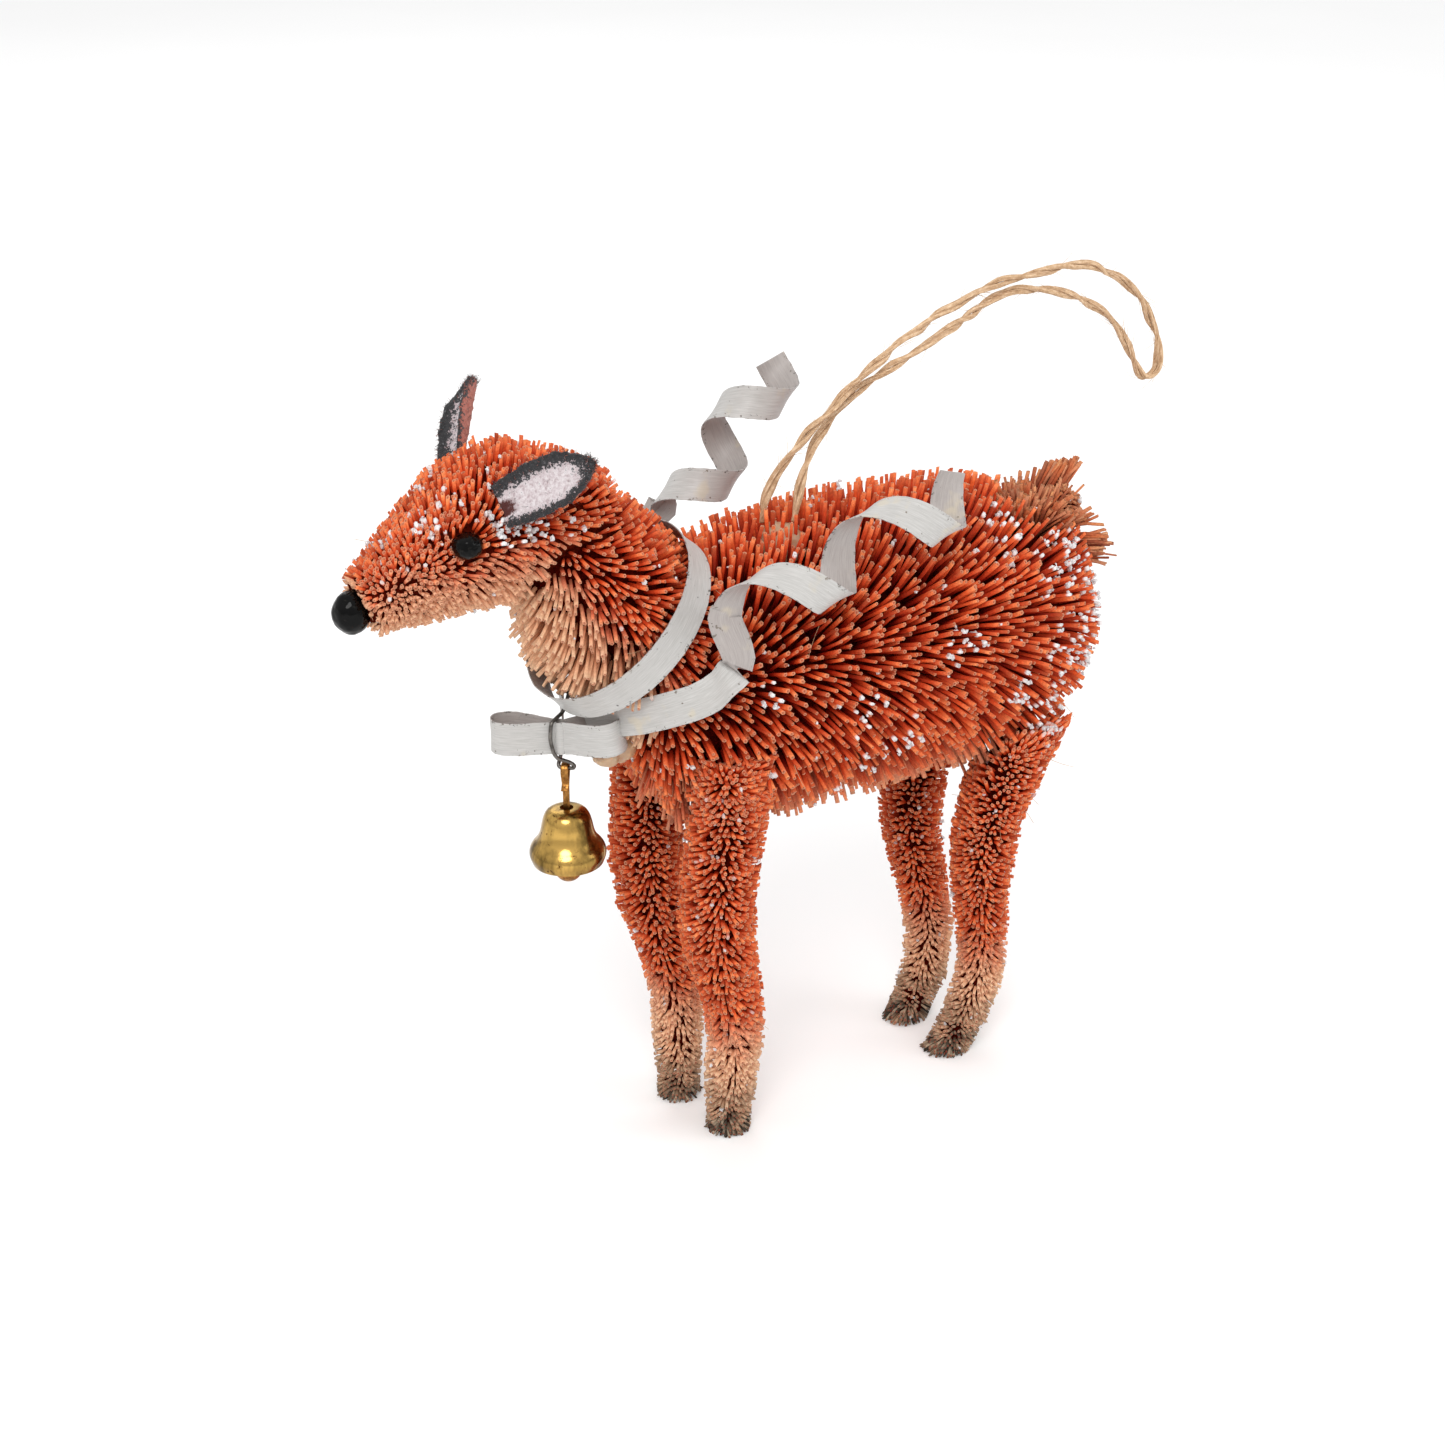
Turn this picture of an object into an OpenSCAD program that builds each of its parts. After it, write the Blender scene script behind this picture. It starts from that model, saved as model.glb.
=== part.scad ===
// Bottle-brush fawn ornament. Trimmed palm-fibre brushes on twisted wire cores stand on four legs,
// with felt ears, bead eyes, a painted ribbon round the neck and a brass bell.
// Millimetres. The fawn faces -X, +Z is up, and the soles of the hooves stand on Z = 0.

/* [Brushes] */
// Height of the body brush's axis above the floor
body_axis_z = 72; // [70:0.5:74]
// Thickness of the twisted wire core inside each brush
core_d = 2.2; // [1.6:0.1:3]
// Height of the dark dyed hoof at the foot of each leg
hoof_h = 5.5; // [4:0.5:7]

/* [Ribbon] */
// Width of the painted metal ribbon
ribbon_w = 4.8; // [4:0.1:5.4]
// Thickness of the painted metal ribbon
ribbon_t = 0.3; // [0.2:0.05:0.4]
// Radius of the ribbon ring round the neck
band_r = 13.9; // [13.8:0.1:14.4]
// Radius of the curled ribbon ends
curl_r = 4.2; // [3.6:0.1:4.6]

/* [Bell] */
// Height of the bell from its crown to its lip
bell_h = 8.2; // [8:0.1:8.6]
// Radius of the hole in the bell's crown
crown_hole_r = 0.95; // [0.9:0.05:1]
// Radius of the clapper's ball
clapper_r = 2; // [1.7:0.1:2.1]

/* [Twine] */
// Thickness of the hanging twine
twine_d = 1.5; // [1.2:0.1:1.6]

/* [Hidden] */

rust = [0.72, 0.27, 0.16];
tan_fibre = [0.72, 0.52, 0.38];
wire_grey = [0.45, 0.43, 0.41];
paint_white = [0.88, 0.87, 0.86];
brass = [0.72, 0.53, 0.2];

// Brush sections along the middle plane: [x, z, half width, half height]
BODY = [
    [-20.5, -2, 5, 6], [-19, -2, 11, 12], [-15.5, -1.5, 15, 17], [-9.5, -1, 17.5, 20.5],
    [-0.5, -0.5, 18.5, 22.3], [12.5, 0, 19, 23.1], [24.5, 0, 19, 22.8], [36.5, -0.5, 18.5, 22.3],
    [46.5, -1, 17, 20.4], [53.5, -1.5, 14, 17.2], [58, -1.5, 9, 12], [59.8, -1.5, 4, 6]];
NECK = [
    [-8, 74, 11, 13], [-12.5, 78, 14.5, 16], [-17.3, 82.2, 13.3, 13.1], [-21.9, 87.1, 13, 12.2],
    [-24.9, 91.2, 12.2, 11.9], [-28, 95.6, 10.6, 10.4], [-33, 100, 8.5, 8.5]];
HEAD = [
    [-21.5, 97, 5, 5], [-24.5, 97.8, 8.5, 8.2], [-30.5, 99.7, 9.5, 9.8], [-37.5, 100.9, 9.5, 11.4],
    [-43.5, 99.2, 8.5, 10.2], [-48.5, 96.8, 7, 8], [-53.5, 94.6, 5.5, 6], [-57.3, 93, 4.2, 4.4]];
TAIL = [[49, 80, 6, 6], [53, 83.3, 8, 8], [56.5, 86, 7, 7.5], [59.2, 88.3, 3.5, 3.4]];

// Leg sections from the thigh down to the hoof's top: [x, z, y, radius]; y is the side's distance
FRONT_LEFT = [
    [-8.5, 60, 11, 6.2], [-9.5, 54, 10.5, 5.8], [-10.1, 48, 10, 5.7], [-10.4, 40, 9.3, 5.7],
    [-9.5, 33, 8.7, 5.5], [-7.6, 26, 8.1, 4.9], [-6.1, 20, 7.6, 4.5], [-5.9, 14, 7.1, 4.2],
    [-6.2, 9, 6.6, 4], [-6.4, 5.5, 6.2, 3.8]];
FRONT_RIGHT = [
    [-8.5, 60, 11, 6.2], [-9.8, 54, 10.4, 5.8], [-10.6, 48, 9.9, 5.7], [-11.2, 40, 9.1, 5.7],
    [-10.6, 33, 8.4, 5.4], [-8.9, 26, 7.8, 4.8], [-7.6, 20, 7.2, 4.4], [-7.5, 14, 6.7, 4.1],
    [-7.9, 9, 6.1, 3.9], [-8.1, 5.5, 5.6, 3.8]];
REAR_LEFT = [
    [44.1, 58, 10.8, 6.2], [41.9, 52, 10.3, 6], [39.3, 46, 9.8, 5.7], [38.1, 40, 9.4, 5.4],
    [37.8, 34, 9, 5.1], [38.3, 28, 8.4, 4.6], [39.4, 22, 7.9, 4.2], [40.1, 16, 7.4, 4],
    [39.7, 11, 7, 4], [37.9, 5.5, 6.6, 3.9]];
REAR_RIGHT = [
    [44.1, 58, 10.8, 6.2], [41.7, 52, 10.1, 6], [38.9, 46, 9.5, 5.7], [37.5, 40, 9, 5.4],
    [37.1, 34, 8.5, 5.1], [37.7, 28, 7.8, 4.7], [38.9, 22, 7.2, 4.3], [39.9, 16, 6.5, 4.1],
    [39.7, 11, 6, 4], [38, 5.5, 5.4, 3.9]];
// Sole of each hoof: [x, y, radius]
FRONT_LEFT_SOLE = [-6.4, 6.2, 3.4];
FRONT_RIGHT_SOLE = [-8.1, 5.6, 3.4];
REAR_LEFT_SOLE = [34.7, 6.3, 3.4];
REAR_RIGHT_SOLE = [34.8, 5, 3.4];

// The bow's waist, and the level direction in which its loops lie
bow = [-29.7, 0, 68.1];
bow_turn = -40.5;
wire_r = 0.27;
eye_u = 0.6;
eye_drop = 4.7;
crown_drop = 10.7;
ring_r = 0.85;

// The helix of each curled ribbon end: the axis point where the ribbon faces front, and one turn on
LEFT_CURL = [[-5.7, -20.5, 91.2], [12.2, -20.5, 97]];
RIGHT_CURL = [[5.1, 20.5, 91.8], [14, 20.5, 102.7]];
curl_front = [-0.53, -0.85, 0.45];

// Ribbon from the bow to the curl: [x, y, z, width direction]
LEFT_LEAD = [
    [-26.6, -1.9, 70, 0, 0, 1], [-24.4, -5, 71.2, 0, 0, 1], [-22.5, -9.5, 73, 0.1, 0, 1],
    [-20, -13.5, 75, 0.2, 0, 1], [-16.6, -16.5, 77, 0.4, 0, 1], [-14.2, -18, 79.6, 0.6, 0, 0.8],
    [-12.2, -18, 82, 0.8, 0.1, 0.6]];
RIGHT_LEAD = [
    [-28.2, 1.6, 71, 0, 0, 1], [-26, 6.5, 71.5, 0, 0, 1], [-23, 11.5, 73, 0.1, 0, 1],
    [-19, 16, 75.5, 0.3, 0, 1], [-13, 19.5, 79, 0.5, 0.1, 0.9], [-7, 21.5, 83, 0.6, 0.2, 0.8]];

// Middle line of the twine: up one strand, over the bight and back down the other, and its side step
TWINE = [
    [3.8, 0.9, 92.5], [4.2, 1, 96], [6.2, 0.9, 99.6], [9, 0, 103.4], [12.7, -0.9, 107.2], [17.8, -0.8, 110.9],
    [23.8, 0.1, 113.9], [30.4, 0.9, 116.8], [37, 0.7, 119.5], [42.8, 0, 121.4], [48.2, -0.4, 121.9],
    [53.4, -0.5, 122.4], [58, -0.4, 122.2], [62.5, -0.2, 120.8], [66.5, 0, 118.4], [70, 0, 115.2],
    [72.6, 0.1, 111.2], [74.3, 0.2, 107.2], [74.3, 0.3, 104], [72, 0.3, 103], [70, 0.4, 105.6],
    [67.8, 0.5, 109.3], [65, 0.6, 112.8], [61, 0.6, 115.6], [56.5, 0.6, 117.7], [52, 0.5, 119.1],
    [47.8, 0.5, 119.7], [42.4, 0.2, 119.4], [36.7, -0.8, 117.5], [30.7, -0.8, 114.9],
    [24.7, 0, 112], [18.7, 0.9, 108.8], [14, 0.8, 105], [10.6, 0, 101.1], [8.5, -0.8, 96.8],
    [7.8, -0.9, 92.5]];

function unit(v) = v / norm(v);
function flip(p) = [p[0], -p[1], p[2]];

// Evenly spaced angles of an n-sided ring
function angles(n) = [for (i = [0:n - 1]) 360 * i / n];

// Direction of travel at point i of a path
function heading(p, i) = unit(p[min(i + 1, len(p) - 1)] - p[max(i - 1, 0)]);

// Points of a smooth curve through hand-set points, k steps to each span
function blend_at(a, b, c, d, t) =
    ((2 * b) + (c - a) * t + (2 * a - 5 * b + 4 * c - d) * t * t + (3 * b - a - 3 * c + d) * t * t * t) / 2;
function smooth(p, k) = concat(
    [for (i = [0:len(p) - 2]) for (j = [0:k - 1])
        blend_at(p[max(i - 1, 0)], p[i], p[i + 1], p[min(i + 2, len(p) - 1)], j / k)],
    [p[len(p) - 1]]);

// A closed skin over rings of n points each, with flat ends
module skin(rings) {
    n = len(rings[0]);
    last = len(rings) - 1;
    walls = [for (i = [0:last - 1]) for (j = [0:n - 1]) for (half = [0, 1])
        half == 0
            ? [i * n + j, (i + 1) * n + j, (i + 1) * n + (j + 1) % n]
            : [i * n + j, (i + 1) * n + (j + 1) % n, i * n + (j + 1) % n]];
    ends = [[for (j = [0:n - 1]) j], [for (j = [n - 1:-1:0]) last * n + j]];
    polyhedron([for (r = rings) for (q = r) q], concat(walls, ends), convexity = 6);
}

// Oval ring across a path in the middle plane
function oval(p, t, ry, rn, n) = [for (w = angles(n))
    p + ry * cos(w) * [0, 1, 0] + rn * sin(w) * [-t[2], 0, t[0]]];
module brush(sections, lift, n) {
    path = [for (s = sections) [s[0], 0, s[1] + lift]];
    skin([for (i = [0:len(path) - 1]) oval(path[i], heading(path, i), sections[i][2], sections[i][3], n)]);
}

// Level rings down a leg
module leg_brush(sections, side) {
    skin([for (s = sections) [for (w = angles(20))
        [s[0] + s[3] * cos(w), side * s[2] - s[3] * sin(w), s[1]]]]);
}
module rod(a, b, r) {
    d = b - a;
    translate(a) rotate([0, acos(d[2] / norm(d)), atan2(d[1], d[0])])
        cylinder(r = r, h = norm(d), $fn = 24);
}
module hoof(foot, ankle, side) {
    top = [ankle[0], side * ankle[2], hoof_h];
    sole = [foot[0], side * foot[1], 0];
    lean = unit(top - sole);
    intersection() {
        rod(sole - 4 * lean, top + 4 * lean, foot[2]);
        translate([sole[0] - 12, sole[1] - 12, 0]) cube([24, 24, hoof_h]);
    }
}

// Round wire swept along a path
module wire(points, r, sides) {
    skin([for (i = [0:len(points) - 1])
        let (t = heading(points, i), side = unit(abs(t[1]) < 0.9 ? cross(t, [0, 1, 0]) : cross(t, [1, 0, 0])),
            b = cross(t, side))
        [for (w = angles(sides)) points[i] + r * (cos(w) * side + sin(w) * b)]]);
}

// Wire cores
module core(points) color(wire_grey) wire(smooth(points, 4), core_d / 2, 12);
module body_core() core([[-16, 0, body_axis_z - 1.5], [55, 0, body_axis_z - 1.5]]);
module neck_core() core([[-11, 0, 77.5], [-29.5, 0, 96]]);
module head_core() core([[-25, 0, 98.5], [-37.5, 0, 99], [-57, 0, 92.6]]);
module tail_core() core([[50, 0, 81], [57.5, 0, 86.8]]);
module leg_core(sections, side) {
    core([for (i = [1, 4, 7, len(sections) - 1]) [sections[i][0], side * sections[i][2], sections[i][1]]]);
}
module front_left_core() leg_core(FRONT_LEFT, -1);
module front_right_core() leg_core(FRONT_RIGHT, 1);
module rear_left_core() leg_core(REAR_LEFT, -1);
module rear_right_core() leg_core(REAR_RIGHT, 1);

// Bristle masses
module body_bristles() color(rust) brush(BODY, body_axis_z, 28);
module neck_bristles() color(rust) brush(NECK, 0, 24);
module head_bristles() color(rust) brush(HEAD, 0, 24);
module tail_bristles() color(0.8 * rust) brush(TAIL, 0, 16);
module front_left_leg() color(rust) leg_brush(FRONT_LEFT, -1);
module front_right_leg() color(rust) leg_brush(FRONT_RIGHT, 1);
module rear_left_leg() color(rust) leg_brush(REAR_LEFT, -1);
module rear_right_leg() color(rust) leg_brush(REAR_RIGHT, 1);
module front_left_hoof() color("dimgray") hoof(FRONT_LEFT_SOLE, FRONT_LEFT[len(FRONT_LEFT) - 1], -1);
module front_right_hoof() color("dimgray") hoof(FRONT_RIGHT_SOLE, FRONT_RIGHT[len(FRONT_RIGHT) - 1], 1);
module rear_left_hoof() color("dimgray") hoof(REAR_LEFT_SOLE, REAR_LEFT[len(REAR_LEFT) - 1], -1);
module rear_right_hoof() color("dimgray") hoof(REAR_RIGHT_SOLE, REAR_RIGHT[len(REAR_RIGHT) - 1], 1);

// Felt ears: a leaf cut from a curved sheet. Its tip is up +Z, and its root is sunk below the origin
ear_t = 1;
ear_sunk = 4.5;
module ear(length, width, cup_r) {
    round_r = (length * length / 4 + width * width / 4) / width;
    translate([0, 0, -ear_sunk]) intersection() {
        translate([0, 0, length / 2]) rotate([90, 0, 0])
            linear_extrude(16, center = true) intersection() {
                translate([round_r - width / 2, 0]) circle(r = round_r, $fn = 96);
                translate([width / 2 - round_r, 0]) circle(r = round_r, $fn = 96);
            }
        translate([0, cup_r, -1]) difference() {
            cylinder(r = cup_r, h = length + 2, $fn = 64);
            translate([0, 0, -1]) cylinder(r = cup_r - ear_t, h = length + 4, $fn = 64);
        }
    }
}
module left_ear() color([0.6, 0.5, 0.48]) translate([-40, -7, 105.2])
    rotate([0, 61, -45]) rotate([0, 0, 162]) ear(18.1, 7.4, 6);
module right_ear() color([0.6, 0.5, 0.48]) translate([-39.7, 6.4, 107.2])
    rotate([0, 53, 52]) rotate([0, 0, 27]) ear(17.5, 6.2, 3.5);

// Beads
eye_at = [-45.5, -7, 101];
module left_eye() color("black") translate(eye_at) sphere(r = 2, $fn = 48);
module right_eye() color("black") translate(flip(eye_at)) sphere(r = 2, $fn = 48);
module nose_bead() color("black") translate([-58.6, 0, 92.5]) {
    rotate_extrude($fn = 64)
        polygon([for (a = [-90:15:90]) [2.6 * cos(a), 3.2 * sin(a)]]);
    rod([0, 0, 0], [4, 0, 0.9], 0.8);
}

// Ribbon ring round the neck, an oval that stands off the throat
band_reach = 1.2;
module band_disc(r, h) linear_extrude(h, center = true)
    resize([2 * (r + band_reach), 2 * r]) circle(r = r, $fn = 96);
module neck_band() color(paint_white)
    translate([-20, 0, 84.2]) rotate([0, -45, 0]) translate([-band_reach, 0, 0]) difference() {
        band_disc(band_r, ribbon_w);
        band_disc(band_r - ribbon_t, ribbon_w + 1);
    }

// Bow: two flat-sided loops of ribbon that stand on edge, joined at a waist
function drop_point(s, length, width) =
    [length * (1 - cos(s)) / 2, width * sin(s) * (1 - cos(s)) / 2.6 + 0.5 * cos(s / 2)];
function side_step(p, i, k) = p[i] + k * unit([
    p[max(i - 1, 0)][1] - p[min(i + 1, len(p) - 1)][1],
    p[min(i + 1, len(p) - 1)][0] - p[max(i - 1, 0)][0]]);
module bow_loop(length, width) {
    path = [for (s = [0:12:360]) drop_point(s, length, width)];
    last = len(path) - 1;
    linear_extrude(ribbon_w, center = true) polygon(concat(
        [for (i = [0:last]) side_step(path, i, ribbon_t / 2)],
        [for (i = [last:-1:0]) side_step(path, i, -ribbon_t / 2)]));
}
module bow_loops() color(paint_white) translate(bow) rotate([0, 0, bow_turn]) {
    translate([-0.4, 0, 0]) rotate([0, 0, 180]) bow_loop(9.2, 3.6);
    translate([0.4, 0, 0]) rotate([0, -9, 0]) bow_loop(8.6, 5);
    cube([1.6, 1.5, ribbon_w], center = true);
}

// Curled ribbon ends
module tail_strip(rows) {
    points = [for (r = rows) [r[0], r[1], r[2]]];
    skin([for (i = [0:len(rows) - 1])
        let (t = heading(points, i), w = unit([rows[i][3], rows[i][4], rows[i][5]]),
            n = unit(cross(t, w)), a = w * ribbon_w / 2, b = n * ribbon_t / 2)
        [points[i] - a - b, points[i] + a - b, points[i] + a + b, points[i] - a + b]]);
}
function curl_row(ends, r, turn) =
    let (step = ends[1] - ends[0], axis = unit(step), f = unit(curl_front - axis * (curl_front * axis)),
        g = cross(axis, f), n = cos(turn) * f + sin(turn) * g,
        along = step * (1 / (2 * PI)) + r * (-sin(turn) * f + cos(turn) * g),
        w = unit(cross(n, unit(along))),
        p = ends[0] + step * turn / 360 + r * n)
    [p[0], p[1], p[2], w[0], w[1], w[2]];
module left_ribbon_tail() color(paint_white) tail_strip(concat(
    smooth(LEFT_LEAD, 3), [for (turn = [-165:15:590]) curl_row(LEFT_CURL, curl_r, turn)]));
module right_ribbon_tail() color(paint_white) tail_strip(concat(
    smooth(RIGHT_LEAD, 3), [for (turn = [-130:15:560]) curl_row(RIGHT_CURL, curl_r, turn)]));

// Places near the bow: u along the bow, w towards the fawn, z up from the bow's waist
module at_bow() translate(bow) rotate([0, 0, bow_turn]) children();

// Steel wire: from behind the neck band over the bow's waist, down its front, through the bell's eye
// and up the back again
HOOK = [
    [1.2, 2.2, 7.4], [0.9, 1.8, 5.4], [0.3, 1.2, 3.5], [-0.4, 0, 2.8], [-0.9, -1.1, 2.3], [-1.1, -1.25, 0.4],
    [-0.8, -1.2, -1.5], [-0.3, -0.9, -2.8], [0.4, -0.4, -3.3], [1.2, -0.1, -3.7], [1.8, 0, -4.2],
    [1.7, 0, -4.6], [1.2, 0, -eye_drop], [eye_u, 0, -eye_drop], [0, 0, -eye_drop], [-0.4, 0.2, -4.3],
    [-0.2, 0.9, -3.3], [0, 1.2, -2], [0, 1.2, 0], [0.2, 1.2, 1.6]];
module hook_wire() color(wire_grey) at_bow() wire(smooth(HOOK, 3), wire_r, 10);
module glue_dab() color([0.85, 0.76, 0.6]) {
    translate([-24.4, -3.4, 65.6]) sphere(r = 1.9, $fn = 32);
    translate([-22.2, -3, 66.2]) sphere(r = 2.3, $fn = 32);
}

// Brass strap: a ring on the steel eye, a flat bar through the crown, a stop under it and a ring below
stop_drop = crown_drop + 0.95;
link_drop = crown_drop + 3.6;
strap_ring_r = 0.28;
link_ring_r = 0.22;
link_gap = 0.58;
module ring(r, wire_radius) rotate([0, 90, 0])
    rotate_extrude($fn = 48) translate([r, 0]) circle(r = wire_radius, $fn = 20);
module bell_strap() color(brass) at_bow() translate([eye_u, 0, 0]) {
    ring_z = -eye_drop + 0.65 - ring_r;
    translate([0, 0, ring_z]) ring(ring_r, strap_ring_r);
    translate([-0.55, -0.2, -link_drop + ring_r]) cube([1.1, 0.4, ring_z - ring_r + link_drop - ring_r]);
    translate([0, 0, -stop_drop]) cylinder(r = 1.6, h = 0.3, $fn = 48);
    translate([0, 0, -link_drop]) ring(ring_r, link_ring_r);
}

// Bell: outline of its wall from the crown hole down the outside and back up the inside
function bell_wall() = [
    [crown_hole_r, 0], [1.9, -0.1], [2.7, -0.5], [3.2, -1.2], [3.5, -2.2], [3.75, -3.4], [4, -4.2],
    [4.4, -4.9], [4.9, -5.5], [5.25, -6.1], [5.4, -6.8], [5.3, -7.4], [5, -bell_h], [4.6, -bell_h],
    [4.75, -7.1], [4.35, -6.1], [3.85, -5.3], [3.5, -4.5], [3.2, -3.4], [2.9, -2.2], [2.6, -1.5],
    [2.1, -0.9], [1.6, -0.6], [crown_hole_r, -0.5]];
module bell_shell() color(brass) at_bow() translate([eye_u, 0, -crown_drop])
    rotate_extrude($fn = 96) polygon(bell_wall());
module bell_clapper() color(0.85 * brass) at_bow() translate([eye_u, 0, 0]) {
    top_z = -link_drop - ring_r + link_gap - ring_r;
    ball_z = -crown_drop - 9.4;
    translate([0, 0, top_z]) rotate([0, 0, 90]) ring(ring_r, link_ring_r);
    translate([0, 0, ball_z]) {
        cylinder(r = 0.35, h = top_z - ring_r - ball_z, $fn = 24);
        sphere(r = clapper_r, $fn = 48);
    }
}

// Hanging twine and the glue knot that holds it in the back
module twine_anchor() color([0.8, 0.68, 0.5]) translate([6.2, 0, 85.5]) cylinder(r = 3.6, h = 7, $fn = 48);
module hanging_twine() color([0.82, 0.68, 0.5]) wire(TWINE, twine_d / 2, 8);

body_core();
neck_core();
head_core();
tail_core();
front_left_core();
front_right_core();
rear_left_core();
rear_right_core();
body_bristles();
neck_bristles();
head_bristles();
tail_bristles();
front_left_leg();
front_right_leg();
rear_left_leg();
rear_right_leg();
front_left_hoof();
front_right_hoof();
rear_left_hoof();
rear_right_hoof();
left_ear();
right_ear();
left_eye();
right_eye();
nose_bead();
neck_band();
bow_loops();
left_ribbon_tail();
right_ribbon_tail();
hook_wire();
glue_dab();
bell_strap();
bell_shell();
bell_clapper();
twine_anchor();
hanging_twine();
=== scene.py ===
"""Looks of the bottle-brush fawn ornament: real bristles, twisted wire, felt, painted tin ribbon, brass and twine."""

import math
import random

import bpy
import numpy as np
from mathutils import Matrix, Vector, noise
from mathutils.bvhtree import BVHTree


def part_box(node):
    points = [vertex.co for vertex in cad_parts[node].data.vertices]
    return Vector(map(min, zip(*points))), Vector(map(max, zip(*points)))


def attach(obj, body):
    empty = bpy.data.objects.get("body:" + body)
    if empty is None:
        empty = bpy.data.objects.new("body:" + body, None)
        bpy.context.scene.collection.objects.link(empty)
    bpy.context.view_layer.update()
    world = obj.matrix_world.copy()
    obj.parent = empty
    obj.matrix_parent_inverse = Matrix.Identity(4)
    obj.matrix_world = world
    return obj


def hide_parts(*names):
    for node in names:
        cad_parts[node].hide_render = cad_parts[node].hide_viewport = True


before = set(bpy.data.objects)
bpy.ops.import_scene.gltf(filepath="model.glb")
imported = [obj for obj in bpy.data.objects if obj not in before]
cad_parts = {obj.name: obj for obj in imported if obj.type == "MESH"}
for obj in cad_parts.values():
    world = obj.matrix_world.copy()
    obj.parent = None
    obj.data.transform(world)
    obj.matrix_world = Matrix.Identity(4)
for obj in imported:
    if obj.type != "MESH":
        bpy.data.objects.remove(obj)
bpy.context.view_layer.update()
MM = 0.001
# A bristle's colour is painted darker with depth into the brush, as painted shade between bristles, darkest this far
# below its cut end
SHADE_DEPTH = 8 * MM


# ---------------------------------------------------------------- camera, floor and light
def set_camera():
    azimuth, elevation, distance = math.radians(32), math.radians(24.5), 0.345
    target = Vector((0.0045, 0.0129, 0.057))
    back = Vector((
        -math.sin(azimuth) * math.cos(elevation),
        -math.cos(azimuth) * math.cos(elevation),
        math.sin(elevation),
    ))
    data = bpy.data.cameras.new("photo_camera")
    data.lens = 57.3
    data.sensor_width = 36
    data.clip_start = 0.01
    camera = bpy.data.objects.new("photo_camera", data)
    camera.location = target + back * distance
    camera.rotation_euler = back.to_track_quat("Z", "Y").to_euler()
    bpy.context.collection.objects.link(camera)
    bpy.context.scene.camera = camera


def area_light(name, place, target, size, watts, colour=(1, 1, 1)):
    data = bpy.data.lights.new(name, "AREA")
    data.shape = "DISK"
    data.size = size
    data.energy = watts
    data.color = colour
    lamp = bpy.data.objects.new(name, data)
    lamp.location = place
    lamp.rotation_euler = (Vector(place) - Vector(target)).to_track_quat("Z", "Y").to_euler()
    bpy.context.collection.objects.link(lamp)


# ---------------------------------------------------------------- small mesh and node helpers
def new_object(name, mesh, smooth=True):
    piece = bpy.data.objects.new(name, mesh)
    bpy.context.collection.objects.link(piece)
    mesh.polygons.foreach_set("use_smooth", [smooth] * len(mesh.polygons))
    return piece


def mesh_of(name, points, faces, smooth=True):
    mesh = bpy.data.meshes.new(name)
    mesh.from_pydata([tuple(p) for p in points], [], [tuple(f) for f in faces])
    mesh.validate()
    mesh.update()
    return new_object(name, mesh, smooth)


def place(piece, material, body, slot, nodes=()):
    if material:
        piece.data.materials.append(material)
    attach(piece, body)
    if nodes:
        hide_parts(*nodes)
    return piece


def material(name, roughness=0.6):
    made = bpy.data.materials.new(name)
    made.use_nodes = True
    tree = made.node_tree
    shader = tree.nodes["Principled BSDF"]
    shader.inputs["Roughness"].default_value = roughness
    return made, tree, shader


def node(tree, kind, **settings):
    made = tree.nodes.new(kind)
    for key, value in settings.items():
        if key in made.inputs:
            made.inputs[key].default_value = value
        else:
            setattr(made, key, value)
    return made


def ramp(tree, fac, stops):
    made = tree.nodes.new("ShaderNodeValToRGB")
    bar = made.color_ramp.elements
    while len(bar) < len(stops):
        bar.new(0.5)
    for element, (where, colour) in zip(bar, stops):
        element.position = where
        element.color = (*colour, 1) if len(colour) == 3 else colour
    tree.links.new(fac, made.inputs["Fac"])
    return made.outputs["Color"]


def blend(tree, fac, a, b, mode="MIX"):
    made = tree.nodes.new("ShaderNodeMix")
    made.data_type = "RGBA"
    made.blend_type = mode
    for socket, value in ((made.inputs[0], fac), (made.inputs[6], a), (made.inputs[7], b)):
        if isinstance(value, bpy.types.NodeSocket):
            tree.links.new(value, socket)
        else:
            socket.default_value = value if isinstance(value, (int, float)) else (*value, 1)
    return made.outputs[2]


def maths(tree, how, a, b=0.0, clamp=False):
    made = tree.nodes.new("ShaderNodeMath")
    made.operation = how
    made.use_clamp = clamp
    for socket, value in ((made.inputs[0], a), (made.inputs[1], b)):
        if isinstance(value, bpy.types.NodeSocket):
            tree.links.new(value, socket)
        else:
            socket.default_value = value
    return made.outputs[0]


def spread(tree, value, low, high, to_low=0.0, to_high=1.0):
    made = tree.nodes.new("ShaderNodeMapRange")
    made.interpolation_type = "SMOOTHSTEP"
    tree.links.new(value, made.inputs["Value"])
    for key, number in (("From Min", low), ("From Max", high), ("To Min", to_low), ("To Max", to_high)):
        made.inputs[key].default_value = number
    return made.outputs["Result"]


def speckle(tree, scale, detail=3.0, rough=0.6, coords=None):
    made = node(tree, "ShaderNodeTexNoise", Scale=scale, Detail=detail, Roughness=rough)
    if coords is None:
        coords = tree.nodes.new("ShaderNodeTexCoord").outputs["Object"]
    tree.links.new(coords, made.inputs["Vector"])
    return made.outputs["Fac"]


def bump(tree, shader, height, strength, distance):
    made = node(tree, "ShaderNodeBump", Strength=strength, Distance=distance)
    tree.links.new(height, made.inputs["Height"])
    tree.links.new(made.outputs["Normal"], shader.inputs["Normal"])


def channels(tree, attribute):
    read = node(tree, "ShaderNodeAttribute", attribute_name=attribute)
    split = tree.nodes.new("ShaderNodeSeparateColor")
    tree.links.new(read.outputs["Color"], split.inputs["Color"])
    return [split.outputs[i] for i in range(3)] + [read.outputs["Alpha"]]


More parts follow.
